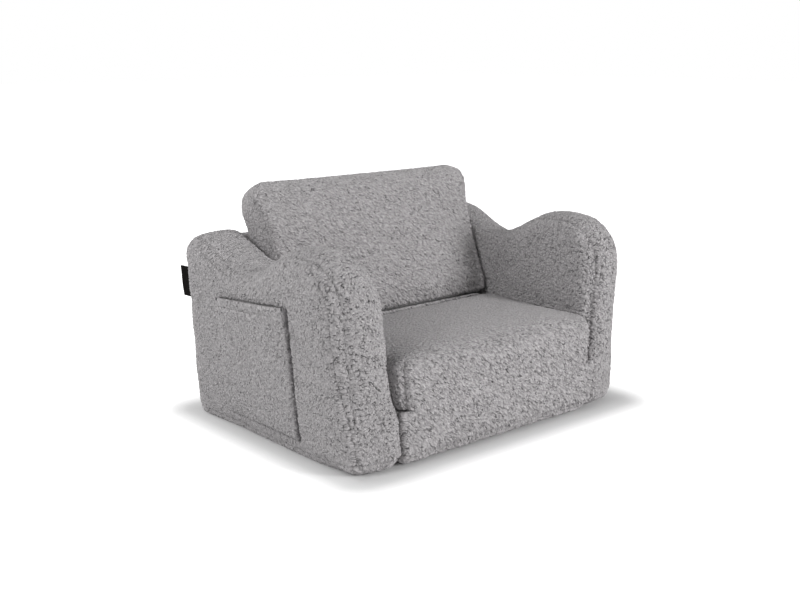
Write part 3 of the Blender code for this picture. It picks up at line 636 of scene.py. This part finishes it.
# Pocket: a fleece patch sewn to the left arm's outer face along its foot and both
# sides. Its mouth is turned under and stands a little open, with a bar of dark
# stitches at each end.
POCKET_NET = 0.0017
POCKET_CLOTH = 0.0024
POCKET_OFF_ARM = 0.0004
POCKET_LOFT = 0.0042
POCKET_LOFT_RUN = 0.0055
POCKET_GAPE = 0.0045
POCKET_TURN_UNDER = 0.011
POCKET_TURN_DEPTH = 0.0016
POCKET_TURN_WIDTH = 0.0022
POCKET_PILE = 0.0028
POCKET_UNEVEN = 0.0008
LEFT_OF_ARM = -0.40
STITCH = 0.0006
STITCH_STEP = 0.0010
STITCHES = 5
BAR_HIGH = 0.0042
BAR_OUT = 0.0082
BAR_IN = 0.0030
BAR_DOWN = 0.0015
THREAD_DARK = (0.020, 0.019, 0.020, 1)
THREAD_LIGHT = (0.070, 0.067, 0.070, 1)
THREAD_TWIST = 0.0008


def arm_face(y, z):
    """Where the left arm's outer face lies across the chair, at a place seen from its side."""
    hit = arm_left_form.ray_cast(Vector((LEFT_OF_ARM, y, z)), Vector((1, 0, 0)))[0]
    return hit.x


def repeat(piece, count, step):
    """Repeats a piece in a row, each one a step from the last."""
    change(piece, "ARRAY", use_relative_offset=False, use_constant_offset=True,
           constant_offset_displace=step, count=count)


def join_into(first, others):
    """Joins the other pieces into the first."""
    bpy.ops.object.select_all(action="DESELECT")
    for piece in (first, *others):
        piece.select_set(True)
    bpy.context.view_layer.objects.active = first
    bpy.ops.object.join()


def grained(name, dark, light, size, detail, surface, depth=0):
    """A finish of fine grain in two tones, in relief where a depth is given."""
    made, tree, shader = new_finish(name, surface)
    place = tree.nodes.new("ShaderNodeTexCoord")
    grain = noise(tree, place.outputs["Object"], size, detail)
    colour = ramp(tree, grain, dark, light).outputs["Color"]
    if depth:
        colour_and_bump(tree, shader, colour, grain, depth)
    else:
        tree.links.new(colour, shader.inputs["Base Color"])
    return made


columns = round((POCKET_REAR - POCKET_FRONT) / POCKET_NET)
rows = round((POCKET_TOP - POCKET_FOOT) / POCKET_NET)
bpy.ops.mesh.primitive_grid_add(x_subdivisions=columns, y_subdivisions=rows, size=1)
pocket = bpy.context.object
pocket.name = "side_pocket"
along, up = (points_of(pocket.data)[:, :2] + 0.5).T
pocket_y = POCKET_REAR + (POCKET_FRONT - POCKET_REAR) * along
mouth = POCKET_TOP - POCKET_DROP * (1 - along)
pocket_z = POCKET_FOOT + (mouth - POCKET_FOOT) * up
from_seam = np.minimum.reduce([pocket_y - POCKET_FRONT, POCKET_REAR - pocket_y,
                               pocket_z - POCKET_FOOT])
pocket_y -= POCKET_FLARE * along * (POCKET_TOP - pocket_z) / (POCKET_TOP - POCKET_FOOT)
across = np.sin(np.pi * along) ** 0.6 * (0.6 + 0.8 * along)
loft = POCKET_OFF_ARM + POCKET_LOFT * (1 - np.exp(-from_seam / POCKET_LOFT_RUN))
loft += POCKET_GAPE * across * up ** 3
turned = groove(mouth - pocket_z - POCKET_TURN_UNDER, POCKET_TURN_DEPTH, POCKET_TURN_WIDTH)
loft -= turned * fade(-from_seam, -0.006, -0.001)
pocket_x = np.array([arm_face(y, z) for y, z in zip(pocket_y, pocket_z)]) - loft
place_points(pocket.data, np.stack([pocket_x, pocket_y, pocket_z], axis=1))
change(pocket, "SOLIDIFY", thickness=POCKET_CLOTH, offset=1)
pocket_facing = points_of(pocket.data, "vertex_normals", "vector")[:, 0]
pocket_points = points_of(pocket.data)
pocket.data.shade_smooth()
# The seam share is painted shade along the pocket's sewn edges.
raise_pile(pocket, POCKET_PILE, POCKET_UNEVEN, lean=(0.15, 0, -0.3),
           pressed=1 - fade(pocket_facing, -0.6, -0.1),
           seam=groove(past_pocket(pocket_points), 1, 0.0022) * (0.4 + 0.5 * (pocket_points[:, 1] < 0)),
           cracked=0.80)
pocket.data.materials.append(fleece("pocket_fleece"))

thread = grained("dark_thread", THREAD_DARK, THREAD_LIGHT, THREAD_TWIST, 2.0, {})
bars = []
for bar_y in (POCKET_FRONT + BAR_IN, POCKET_REAR - BAR_IN):
    bar_z = pocket_mouth(np.array([[0, bar_y, 0]]))[0] - BAR_DOWN
    first_stitch = (arm_face(bar_y, bar_z) - BAR_OUT, bar_y - (STITCHES - 1) / 2 * STITCH_STEP, bar_z)
    bpy.ops.mesh.primitive_cylinder_add(vertices=8, radius=STITCH, depth=BAR_HIGH)
    bar = bpy.context.object
    bar.data.transform(Matrix.Translation(first_stitch))
    repeat(bar, STITCHES, (0, STITCH_STEP, 0))
    bar.data.materials.append(thread)
    bars.append(bar)
join_into(pocket, bars)
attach(pocket, "frame")
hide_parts("pocket_patch", "pocket_hem")

# Tab: a woven tape folded in two and caught in the left arm's rear seam by its ends,
# dark brown and left bare.
TAB_LOW = 0.184
TAB_HIGH = 0.232
TAB_ROOT = 0.1990
TAB_TIP = 0.2222
TAB_BEND = 0.0009
TAB_CLOTH = 0.0008
TAB_PLACE = -(ARM_MIDDLE + 0.0305)
TAB_RIBS = 0.00105
TAB_PICKS = 0.00085
TAB_CURL = 0.0016
TAB_WAVE = 0.0005
TAB_DARK = (0.0015, 0.0010, 0.0008, 1)
TAB_LIGHT = (0.0055, 0.0038, 0.0030, 1)
TAB_RELIEF = 0.0003

bpy.ops.mesh.primitive_grid_add(x_subdivisions=48, y_subdivisions=40, size=1)
tab = bpy.context.object
tab.name = "side_tab"
around, height = (points_of(tab.data)[:, :2] + 0.5).T
run = TAB_TIP - TAB_BEND - TAB_ROOT
fold_half = np.pi * TAB_BEND / 2
from_fold = (2 * around - 1) * (run + fold_half)
past_run = np.clip((np.abs(from_fold) - fold_half) / run, 0, 1)
angle = np.clip(from_fold / fold_half, -1, 1) * np.pi / 2
tab_z = TAB_LOW + (TAB_HIGH - TAB_LOW) * height
tab_x = TAB_PLACE - ARM_SPLAY * tab_z + TAB_BEND * np.sin(angle)
tab_x -= TAB_CURL * (1 - past_run) ** 2 + TAB_WAVE * np.sin(height * 5.0)
tab_y = TAB_TIP - TAB_BEND + TAB_BEND * np.cos(angle) - run * past_run
place_points(tab.data, np.stack([tab_x, tab_y, tab_z], axis=1))
keep_roots(tab.data, np.stack([from_fold, tab_z, np.zeros(len(from_fold))], axis=1))
change(tab, "SOLIDIFY", thickness=TAB_CLOTH, offset=0)
tab.data.shade_smooth()

TAPE_SURFACE = {"Roughness": 0.8, "Specular IOR Level": 0.05}
WAVE_LENGTH = 0.314
WAVE_SWING = 0.4
TAPE_FUZZ = 0.0006
WEAVE_SHARE = 0.75


def woven_tape(name, dark, light, ribs, picks, depth):
    """Finish of a woven tape: ribs along it crossed by finer picks, read from its roots."""
    made, tree, shader = new_finish(name, TAPE_SURFACE)
    root = add_node(tree, "ShaderNodeAttribute", attribute_name="root").outputs["Vector"]
    first, second = [
        add_node(tree, "ShaderNodeTexWave",
                 {"Scale": WAVE_LENGTH / size, "Distortion": WAVE_SWING, "Vector": root},
                 bands_direction=direction).outputs["Fac"]
        for direction, size in (("X", picks), ("Y", ribs))]
    weave = maths(tree, "MULTIPLY", first, second)
    weave = maths(tree, "ADD", maths(tree, "MULTIPLY", weave, WEAVE_SHARE),
                  maths(tree, "MULTIPLY", noise(tree, root, TAPE_FUZZ, 2.0), 1 - WEAVE_SHARE))
    colour_and_bump(tree, shader, ramp(tree, weave, dark, light).outputs["Color"], weave, depth)
    return made


tab.data.materials.append(woven_tape("brown_tape", TAB_DARK, TAB_LIGHT, TAB_RIBS, TAB_PICKS, TAB_RELIEF))
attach(tab, "frame")
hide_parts("label_tab")

# Frame cover: the base block and the low wedge behind the back cushion, under one
# fleece cover that runs from the front edge over the deck and down the rear. Its
# front edge is full, so that it meets the seat cushion in a fine line.
BASE_TOP = 0.0805
COVER_NET = 0.0064
WEDGE_SINK = 0.020
EDGE_ZONE = 0.016
CORNER_ZONE = 0.014
FOOT_ZONE = 0.020
FRONT_EDGE_FULLER = 0.0006
FRAME_HEM_ROLL = 0.0032
FRAME_PILE = 0.0026
FRAME_UNEVEN = 0.0006
FRAME_ZIP_Z = 0.040
ZIP_DIP = 0.0030


def sunk_wedge(point):
    """Lets the wedge down into the base block, so that the two make one form."""
    if BASE_TOP - 0.001 < point.z < BASE_TOP + 0.001:
        return point - Vector((0, 0, WEDGE_SINK))
    return point


def leaning(side):
    """The way that a side leaning out with the arms faces; side is -1 or 1."""
    return (0.995 * side, 0, -0.0995)


def farthest(points, direction, near):
    """How far the near points lie in a direction, but for the last few."""
    return np.percentile((points @ direction)[near], 99)


def fill_edge(cover, first, second, zone=EDGE_ZONE, power=8, more=0.0, where=None):
    """Fills out a round edge between the faces that look along `first` and `second`.

    Without a power it does the reverse, and rounds a square edge.
    """
    points = points_of(cover.data)
    first, second = np.array(first), np.array(second)
    near = np.ones(len(points), bool) if where is None else where(points)
    u = 1 + (points @ first - farthest(points, first, near) - more) / zone
    v = 1 + (points @ second - farthest(points, second, near) - more) / zone
    here = (u > 0) & (v > 0) & near
    u, v = u[here], v[here]
    scale = np.maximum(u, v) / np.hypot(u, v)
    if power:
        scale = np.hypot(u, v) / (u ** power + v ** power) ** (1 / power)
    new_u = np.minimum(u * scale, np.maximum(u, 1))
    new_v = np.minimum(v * scale, np.maximum(v, 1))
    points[here] += (np.outer(new_u - u, first) + np.outer(new_v - v, second)) * zone
    place_points(cover.data, points)


def base_front(points):
    return points[:, 1] < -0.15


def base_front_over_foot(points):
    return base_front(points) & (points[:, 2] > 0.012)


def frame_allowance(points):
    rear = fade(-points[:, 1], -0.180, -0.150)
    return 0.0005 + 0.0030 * rear * (1 - fade(points[:, 2], 0.0, 0.03))


frame_cover = foam_copy("frame_cover", ("base_foam", "rear_block_foam"), COVER_NET, sunk_wedge)
swell(frame_cover, frame_allowance)
refine(frame_cover)
for side in (-1, 1):
    fill_edge(frame_cover, (0, -1, 0), leaning(side), zone=CORNER_ZONE, where=base_front_over_foot)
    fill_edge(frame_cover, (0, 0, 1), leaning(side), zone=CORNER_ZONE, where=base_front)
fill_edge(frame_cover, (0, -1, 0), (0, 0, 1), more=FRONT_EDGE_FULLER, where=base_front)
fill_edge(frame_cover, (0, -1, 0), (0, 0, -1), zone=FOOT_ZONE, power=0, where=base_front)
frame_points = points_of(frame_cover.data)
front_lift = FOOT_LIFT * fade(frame_points[:, 2], *FOOT_HIGH) * fade(frame_points[:, 1], -0.20, -0.12)
frame_points[:, 2] += front_lift
place_points(frame_cover.data, frame_points)
frame_points = points_of(frame_cover.data)
at_front = fade(frame_points[:, 1], -0.200, -0.190)
hem_roll = FRAME_HEM_ROLL * fade(frame_points[:, 2], 0.010, 0.016) * at_front
hem = groove(frame_points[:, 2] - HEM_HEIGHT - FOOT_LIFT, 1, HEM_WIDTH) * at_front
sink(frame_cover, hem * HEM_DEPTH - hem_roll)
frame_points = points_of(frame_cover.data)
on_deck = fade(np.abs(frame_points[:, 2] - BASE_TOP), 0.004, 0.010)
on_deck *= 1 - fade(frame_points[:, 1], -0.208, -0.195)
under_back = fade(frame_points[:, 1], 0.165, 0.175) * (1 - fade(frame_points[:, 2], 0.08, 0.09))
frame_pressed = np.maximum(on_deck, under_back * fade(frame_points[:, 2], 0.262, 0.275))
frame_pressed = np.maximum(frame_pressed, fade(frame_points[:, 2], 0.002, 0.005))
by_zip = fade(np.abs(frame_points[:, 2] - FRAME_ZIP_Z), 0.011, 0.015)
by_zip *= 1 - fade(frame_points[:, 1], 0.15, 0.17)
by_zip *= fade(np.abs(frame_points[:, 0]), 0.160, 0.166)
frame_pressed = np.maximum(frame_pressed, by_zip)
sink(frame_cover, ZIP_DIP * by_zip)
# The seam share is painted shade along the hem's groove.
raise_pile(frame_cover, FRAME_PILE, FRAME_UNEVEN, comb=COMBED, turn=DIAGONAL, pressed=frame_pressed,
           seam=SEAM_SHADE_SHARE * hem, cracked=0.6 + 0.2 * at_front, creased=0.9 * at_front)
off_floor(frame_cover)
frame_cover.data.materials.append(fleece("frame_fleece"))
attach(frame_cover, "frame")
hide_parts("base_foam", "base_front_strip", "base_deck",
            "rear_block_foam", "rear_inner_strip", "rear_outer_strip")

# Seat cushion: foam in a boxed fleece cover, crowned on top, its sides out to the arms.
# Its edges at the two hinge seams are full. The pile on top is brushed down by sitting.
SEAT_HALF = 0.1937
ARM_HALF = 0.0385
SEAT_GAP = 0.0012
SEAT_CORNER_ROUND = 0.018
SEAT_FRONT_FULLER = 0.0008
SEAT_REAR_FULLER = 0.0042
SEAT_CREASE_Z = 0.104
SEAT_PILE = 0.0026
SEAT_UNEVEN = 0.0008


def seat_front(points):
    return points[:, 1] < -0.10


def seat_rear_edge(points):
    return points[:, 1] > 0.002


def seat_allowance(points):
    above = 1 - fade(points[:, 2], 0.135, 0.152)
    inner = fade(np.abs(points[:, 0]), 0.12, 0.188)
    front = fade(points[:, 1], -0.205, -0.180)
    return 0.0004 + 0.0032 * above * inner + 0.0010 * front


seat_cover = foam_copy("seat_cushion_cover", ("seat_foam",), COVER_NET)
swell(seat_cover, seat_allowance)
refine(seat_cover)
for side in (-1, 1):
    fill_edge(seat_cover, (side, 0, 0), (0, 0, -1), zone=CORNER_ZONE, where=seat_front)
    fill_edge(seat_cover, (side, 0, 0), (0, -1, 0), zone=SEAT_CORNER_ROUND, power=0, where=seat_front)
fill_edge(seat_cover, (0, -1, 0), (0, 0, -1), more=SEAT_FRONT_FULLER)
fill_edge(seat_cover, (0, 1, 0), (0, 0, 1), more=SEAT_REAR_FULLER, where=seat_rear_edge)
seat_points = points_of(seat_cover.data)
beside_arm = ARM_MIDDLE - ARM_HALF + ARM_SPLAY * seat_points[:, 2] - SEAT_GAP
outmost = 1 - fade(np.abs(seat_points[:, 0]), 0.13, 0.19)
seat_points[:, 0] += np.sign(seat_points[:, 0]) * (beside_arm - SEAT_HALF) * outmost
place_points(seat_cover.data, seat_points)
seat_high = 1 - fade(seat_points[:, 2], 0.150, 0.158)
seat_sides = 1 - fade(np.abs(seat_points[:, 0]), 0.188, 0.195)
seat_under = fade(seat_points[:, 2], 0.083, 0.088)
seat_rear = 1 - fade(seat_points[:, 1], 0.010, 0.018)
seat_front_free = fade(seat_points[:, 1], -0.150, -0.110)
seat_pressed = np.maximum.reduce([0.45 * seat_high, seat_sides * (1 - seat_front_free),
                                  seat_under * (1 - seat_front_free),
                                  seat_rear * fade(seat_points[:, 2], 0.146, 0.152)])
at_front = fade(seat_points[:, 1], -0.190, -0.160)
crease_band = fade(np.abs(seat_points[:, 2] - SEAT_CREASE_Z), 0.014, 0.032)
seat_creased = 0.6 + at_front * (0.15 + 0.25 * crease_band)
raise_pile(seat_cover, SEAT_PILE, SEAT_UNEVEN, lean=(0.25, 0, -0.4), comb=COMBED, turn=DIAGONAL,
           pressed=seat_pressed, cracked=0.5 + 0.3 * at_front, creased=seat_creased)
seat_cover.data.materials.append(fleece("seat_fleece"))
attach(seat_cover, "seat_cushion")
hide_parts("seat_foam", "seat_top_panel", "seat_under_panel", "seat_boxing")

# Back cushion: the same make as the seat, leaning on the wedge, its top corners full
# and round.
RECLINE = math.radians(23.4)
BACK_OUT = np.array((0, -math.cos(RECLINE), math.sin(RECLINE)))
BACK_UP = np.array((0, math.sin(RECLINE), math.cos(RECLINE)))
FOLD = np.array((0, 0.0248, 0.1523))
REAR_NARROWER = 0.015
SIDE_FULLNESS = 0.002
BACK_ASIDE = 0.0012
BACK_HALF = 0.21
BACK_THICK = 0.070
BACK_ZONE = 0.020
BACK_FOOT_FULLER = 0.0075
BACK_PILE = 0.0027
BACK_UNEVEN = 0.0010


def back_foot(points):
    return points[:, 2] < 0.18


def back_allowance(points):
    away = (points - FOLD) @ BACK_OUT
    front = 1 - fade(away, -0.020, 0.0)
    inner = fade(np.abs(points[:, 0]), 0.13, 0.205)
    return 0.0006 + 0.0040 * front * inner


back_cover = foam_copy("back_cushion_cover", ("back_foam",), COVER_NET)
swell(back_cover, back_allowance)
refine(back_cover)
fill_edge(back_cover, BACK_OUT, -BACK_UP, zone=BACK_ZONE, more=BACK_FOOT_FULLER, where=back_foot)
for side, squareness in ((-1, 5), (1, 12)):
    fill_edge(back_cover, BACK_OUT, leaning(side), zone=BACK_ZONE, power=squareness)
back_points = points_of(back_cover.data)
behind = np.clip(-((back_points - FOLD) @ BACK_OUT) / BACK_THICK, 0, 1)
raised = 1 - fade(back_points[:, 2], 0.24, 0.34)
by_side = (np.abs(back_points[:, 0]) / BACK_HALF) ** 4
taper = REAR_NARROWER * behind * raised * by_side
fuller = SIDE_FULLNESS * (1 - fade(back_points[:, 2], 0.22, 0.30))
fuller *= np.clip(4 * behind * (1 - behind), 0, 1)
fuller *= by_side
back_points[:, 0] += np.sign(back_points[:, 0]) * (fuller - taper) + BACK_ASIDE
place_points(back_cover.data, back_points)
back_points = points_of(back_cover.data)
back_up = (back_points - FOLD) @ BACK_UP
back_out = (back_points - FOLD) @ BACK_OUT
back_low = fade(back_points[:, 2], 0.215, 0.240)
back_side = 1 - fade(np.abs(back_points[:, 0]) - ARM_SPLAY * back_points[:, 2], 0.170, 0.180)
back_behind = fade(back_out, -0.064, -0.058)
back_under = fade(back_up, 0.006, 0.014) * fade(back_out, -0.012, -0.006)
back_pressed = np.maximum.reduce([back_side * back_low * fade(back_out, -0.012, -0.004),
                                  back_behind * fade(back_points[:, 2], 0.250, 0.285), back_under])
back_creased = 0.5 + 0.32 * (1 - fade(back_out, -0.030, -0.010))
raise_pile(back_cover, BACK_PILE, BACK_UNEVEN, lean=(0.2, 0, -0.3), comb=COMBED, turn=DIAGONAL,
           pressed=back_pressed, cracked=0.5, creased=back_creased)
back_cover.data.materials.append(fleece("back_fleece"))
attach(back_cover, "back_cushion")
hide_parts("back_foam", "back_front_panel", "back_rear_panel", "back_boxing")

# Hinge seams: where the seat cushion is sewn to the base's front edge, and the back
# cushion to the seat's rear edge, the fleece of both makes a narrow roll.
FRONT_ROLL = ("front_hinge_seam", 0.0022, (-0.2093, 0.0805), 0.1728, "frame", "seat_hinge_roll")
REAR_ROLL = ("rear_hinge_seam", 0.0024, (0.0248, 0.1516), 0.1771, "seat_cushion", "back_hinge_roll")
ROLL_NET = 0.0022
ROLL_CLOSE = 0.00005
ROLL_PILE = 0.0010
ROLL_UNEVEN = 0.0004
ROLL_DEEP = 0.9

for name, radius, (y, z), half, rides, stands_for in (FRONT_ROLL, REAR_ROLL):
    bpy.ops.mesh.primitive_grid_add(x_subdivisions=round(2 * half / ROLL_NET), y_subdivisions=16, size=1)
    roll = bpy.context.object
    roll.name = name
    along, around = (points_of(roll.data)[:, :2] + 0.5).T
    taper = radius * np.sqrt(np.clip(1 - np.abs(2 * along - 1) ** 40, 0.01, 1))
    angle = 2 * np.pi * around
    place_points(roll.data, np.stack([half * (2 * along - 1), y + taper * np.sin(angle),
                                      z + taper * np.cos(angle)], axis=1))
    closed = bmesh.new()
    closed.from_mesh(roll.data)
    bmesh.ops.remove_doubles(closed, verts=closed.verts, dist=ROLL_CLOSE)
    bmesh.ops.holes_fill(closed, edges=[edge for edge in closed.edges if edge.is_boundary])
    bmesh.ops.recalc_face_normals(closed, faces=closed.faces)
    closed.to_mesh(roll.data)
    closed.free()
    raise_pile(roll, ROLL_PILE, ROLL_UNEVEN, comb=COMBED, turn=DIAGONAL, cracked=ROLL_DEEP,
               creased=ROLL_DEEP)
    roll.data.materials.append(fleece(name + "_fleece"))
    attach(roll, rides)
    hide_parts(stands_for)

# Zips: one in the seat's rear edge, one in the back's foot and one low on the rear, each
# of two woven tapes that carry a moulded coil, with a painted slider that has no pull.
ZIP_WIDTH = 0.022
ZIP_TAPE = 0.0009
ZIP_TAPE_CLOTH = 0.6
ZIP_TAPE_WAVE = 0.0002
ZIP_TOOTH = 0.0011
ZIP_TOOTH_REACH = 0.0044
ZIP_TOOTH_THICK = 0.0008
ZIP_TOOTH_OUT = 0.0006
ZIP_END = 0.004
ZIP_TAPE_GAP = 0.0012
ZIPS = (("seat_zip", "seat_cushion", 0.1498, (0, 0.0211, 0.1293), (0, 1, 0), (0, 0, 1)),
        ("frame_zip", "frame", 0.1597, (0, 0.1921, FRAME_ZIP_Z), (0, 1, 0), (0, 0, 1)),
        ("back_zip", "back_cushion", 0.1541,
         tuple(FOLD - BACK_OUT * 0.048 + BACK_UP * 0.0037), tuple(-BACK_UP), tuple(-BACK_OUT)))
ZIP_TAPE_DARK = (0.13, 0.13, 0.137, 1)
ZIP_TAPE_LIGHT = (0.25, 0.25, 0.26, 1)
ZIP_TAPE_RIBS = 0.0010
ZIP_TAPE_PICKS = 0.0008
ZIP_TAPE_RELIEF = 0.0002
COIL_DARK = (0.14, 0.14, 0.147, 1)
COIL_LIGHT = (0.24, 0.24, 0.25, 1)
SLIDER_DARK = (0.11, 0.11, 0.12, 1)
SLIDER_LIGHT = (0.20, 0.20, 0.21, 1)
COIL_GRAIN = 0.004
SLIDER_GRAIN = 0.0012
SLIDER_RELIEF = 0.0001

tape_finish = woven_tape("zip_tape", ZIP_TAPE_DARK, ZIP_TAPE_LIGHT, ZIP_TAPE_RIBS, ZIP_TAPE_PICKS,
                         ZIP_TAPE_RELIEF)
coil_finish = grained("zip_coil", COIL_DARK, COIL_LIGHT, COIL_GRAIN, 2.0, {"Roughness": 0.45})
for node, rides, half, foot, outward, across in ZIPS:
    length = Vector(across).cross(Vector(outward))
    place = Matrix((length, across, outward)).transposed().to_4x4()
    place.translation = foot
    parts = []
    for edge in (-1, 1):
        bpy.ops.mesh.primitive_grid_add(x_subdivisions=150, y_subdivisions=8, size=1)
        tape = bpy.context.object
        points = points_of(tape.data)
        width = (ZIP_WIDTH - ZIP_TAPE_GAP) / 2
        middle = edge * (ZIP_TAPE_GAP + width) / 2
        points = np.stack([points[:, 0] * 2 * half, middle + points[:, 1] * width,
                           ZIP_TAPE * 0.5 + ZIP_TAPE_WAVE * np.sin(points[:, 0] * 34)], axis=1)
        place_points(tape.data, points)
        keep_roots(tape.data, points)
        change(tape, "SOLIDIFY", thickness=ZIP_TAPE * ZIP_TAPE_CLOTH, offset=0)
        tape.data.materials.append(tape_finish)
        parts.append(tape)
    for shift, edge in ((0, -1), (0.5, 1)):
        bpy.ops.mesh.primitive_cylinder_add(vertices=8, radius=ZIP_TOOTH_THICK, depth=ZIP_TOOTH_REACH * 0.6)
        tooth = bpy.context.object
        first_place = (-half + ZIP_END + shift * ZIP_TOOTH, edge * ZIP_TOOTH_REACH * 0.2,
                       ZIP_TAPE + ZIP_TOOTH_OUT)
        tooth.data.transform(Matrix.Rotation(math.radians(90), 4, "X"))
        tooth.data.transform(Matrix.Scale(0.6, 4, (1, 0, 0)))
        tooth.data.transform(Matrix.Translation(first_place))
        repeat(tooth, int(2 * (half - ZIP_END) / ZIP_TOOTH), (ZIP_TOOTH, 0, 0))
        tooth.data.shade_smooth()
        tooth.data.materials.append(coil_finish)
        parts.append(tooth)
    zip_piece = parts[0]
    join_into(zip_piece, parts[1:])
    zip_piece.name = node + "_chain"
    zip_piece.data.transform(place)
    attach(zip_piece, rides)
    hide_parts(node)

slider_paint = grained("slider_paint", SLIDER_DARK, SLIDER_LIGHT, SLIDER_GRAIN, 3.0,
                       {"Roughness": 0.38, "Coat Weight": 0.3}, SLIDER_RELIEF)
for node in ("seat_zip_slider", "back_zip_slider", "frame_zip_slider"):
    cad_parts[node].data.materials.clear()
    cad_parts[node].data.materials.append(slider_paint)

# Sole: a black cloth under the whole chair, with small rubber dots that keep it from
# slipping.
SOLE_HALF = (0.240, 0.1785)
SOLE_CORNER = 0.020
SOLE_CLOTH_LOW = 0.0005
SOLE_CLOTH_HIGH = 0.0018
DOT_SPACE = 0.009
DOT_RADIUS = 0.0013
DOT_MARGIN = 0.010
DOT_TALL = 0.0006
DOT_TAPER = 0.6
SOLE_GRAIN = 0.0009
SOLE_RELIEF = 0.0002
SOLE_DARK = (0.035, 0.035, 0.03675, 1)
SOLE_LIGHT = (0.075, 0.075, 0.07875, 1)
DOT_DARK = (0.03, 0.03, 0.0315, 1)
DOT_LIGHT = (0.05, 0.05, 0.0525, 1)

bpy.ops.mesh.primitive_cube_add(size=1)
sole = bpy.context.object
sole.name = "sole"
sole_size = Matrix.Diagonal((2 * SOLE_HALF[0], 2 * SOLE_HALF[1], SOLE_CLOTH_HIGH - SOLE_CLOTH_LOW, 1))
sole.data.transform(sole_size)
sole.data.transform(Matrix.Translation((0, SOLE_MIDDLE_Y, (SOLE_CLOTH_HIGH + SOLE_CLOTH_LOW) / 2)))
rounded = bmesh.new()
rounded.from_mesh(sole.data)
corners = [edge for edge in rounded.edges if abs(edge.verts[0].co.z - edge.verts[1].co.z) > 0.0005]
bmesh.ops.bevel(rounded, geom=corners, offset=SOLE_CORNER, segments=8, profile=0.5, affect="EDGES")
rounded.to_mesh(sole.data)
rounded.free()
bpy.ops.mesh.primitive_cylinder_add(vertices=8, radius=DOT_RADIUS, depth=DOT_TALL)
dots = bpy.context.object
for vert in dots.data.vertices:
    if vert.co.z < 0:
        vert.co.x *= DOT_TAPER
        vert.co.y *= DOT_TAPER
first_dot = (-SOLE_HALF[0] + DOT_MARGIN, SOLE_MIDDLE_Y - SOLE_HALF[1] + DOT_MARGIN, DOT_TALL / 2)
dots.data.transform(Matrix.Translation(first_dot))
for axis in (0, 1):
    step = [DOT_SPACE if place == axis else 0 for place in range(3)]
    repeat(dots, int(2 * (SOLE_HALF[axis] - DOT_MARGIN) / DOT_SPACE) + 1, step)
sole.data.materials.append(grained("sole_cloth", SOLE_DARK, SOLE_LIGHT, SOLE_GRAIN, 3.0,
                                   {"Roughness": 0.9}, SOLE_RELIEF))
dots.data.materials.append(grained("sole_dots", DOT_DARK, DOT_LIGHT, SOLE_GRAIN, 3.0,
                                   {"Roughness": 0.5}, SOLE_RELIEF))
join_into(sole, [dots])
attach(sole, "frame")
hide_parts("anti_slip_sole")
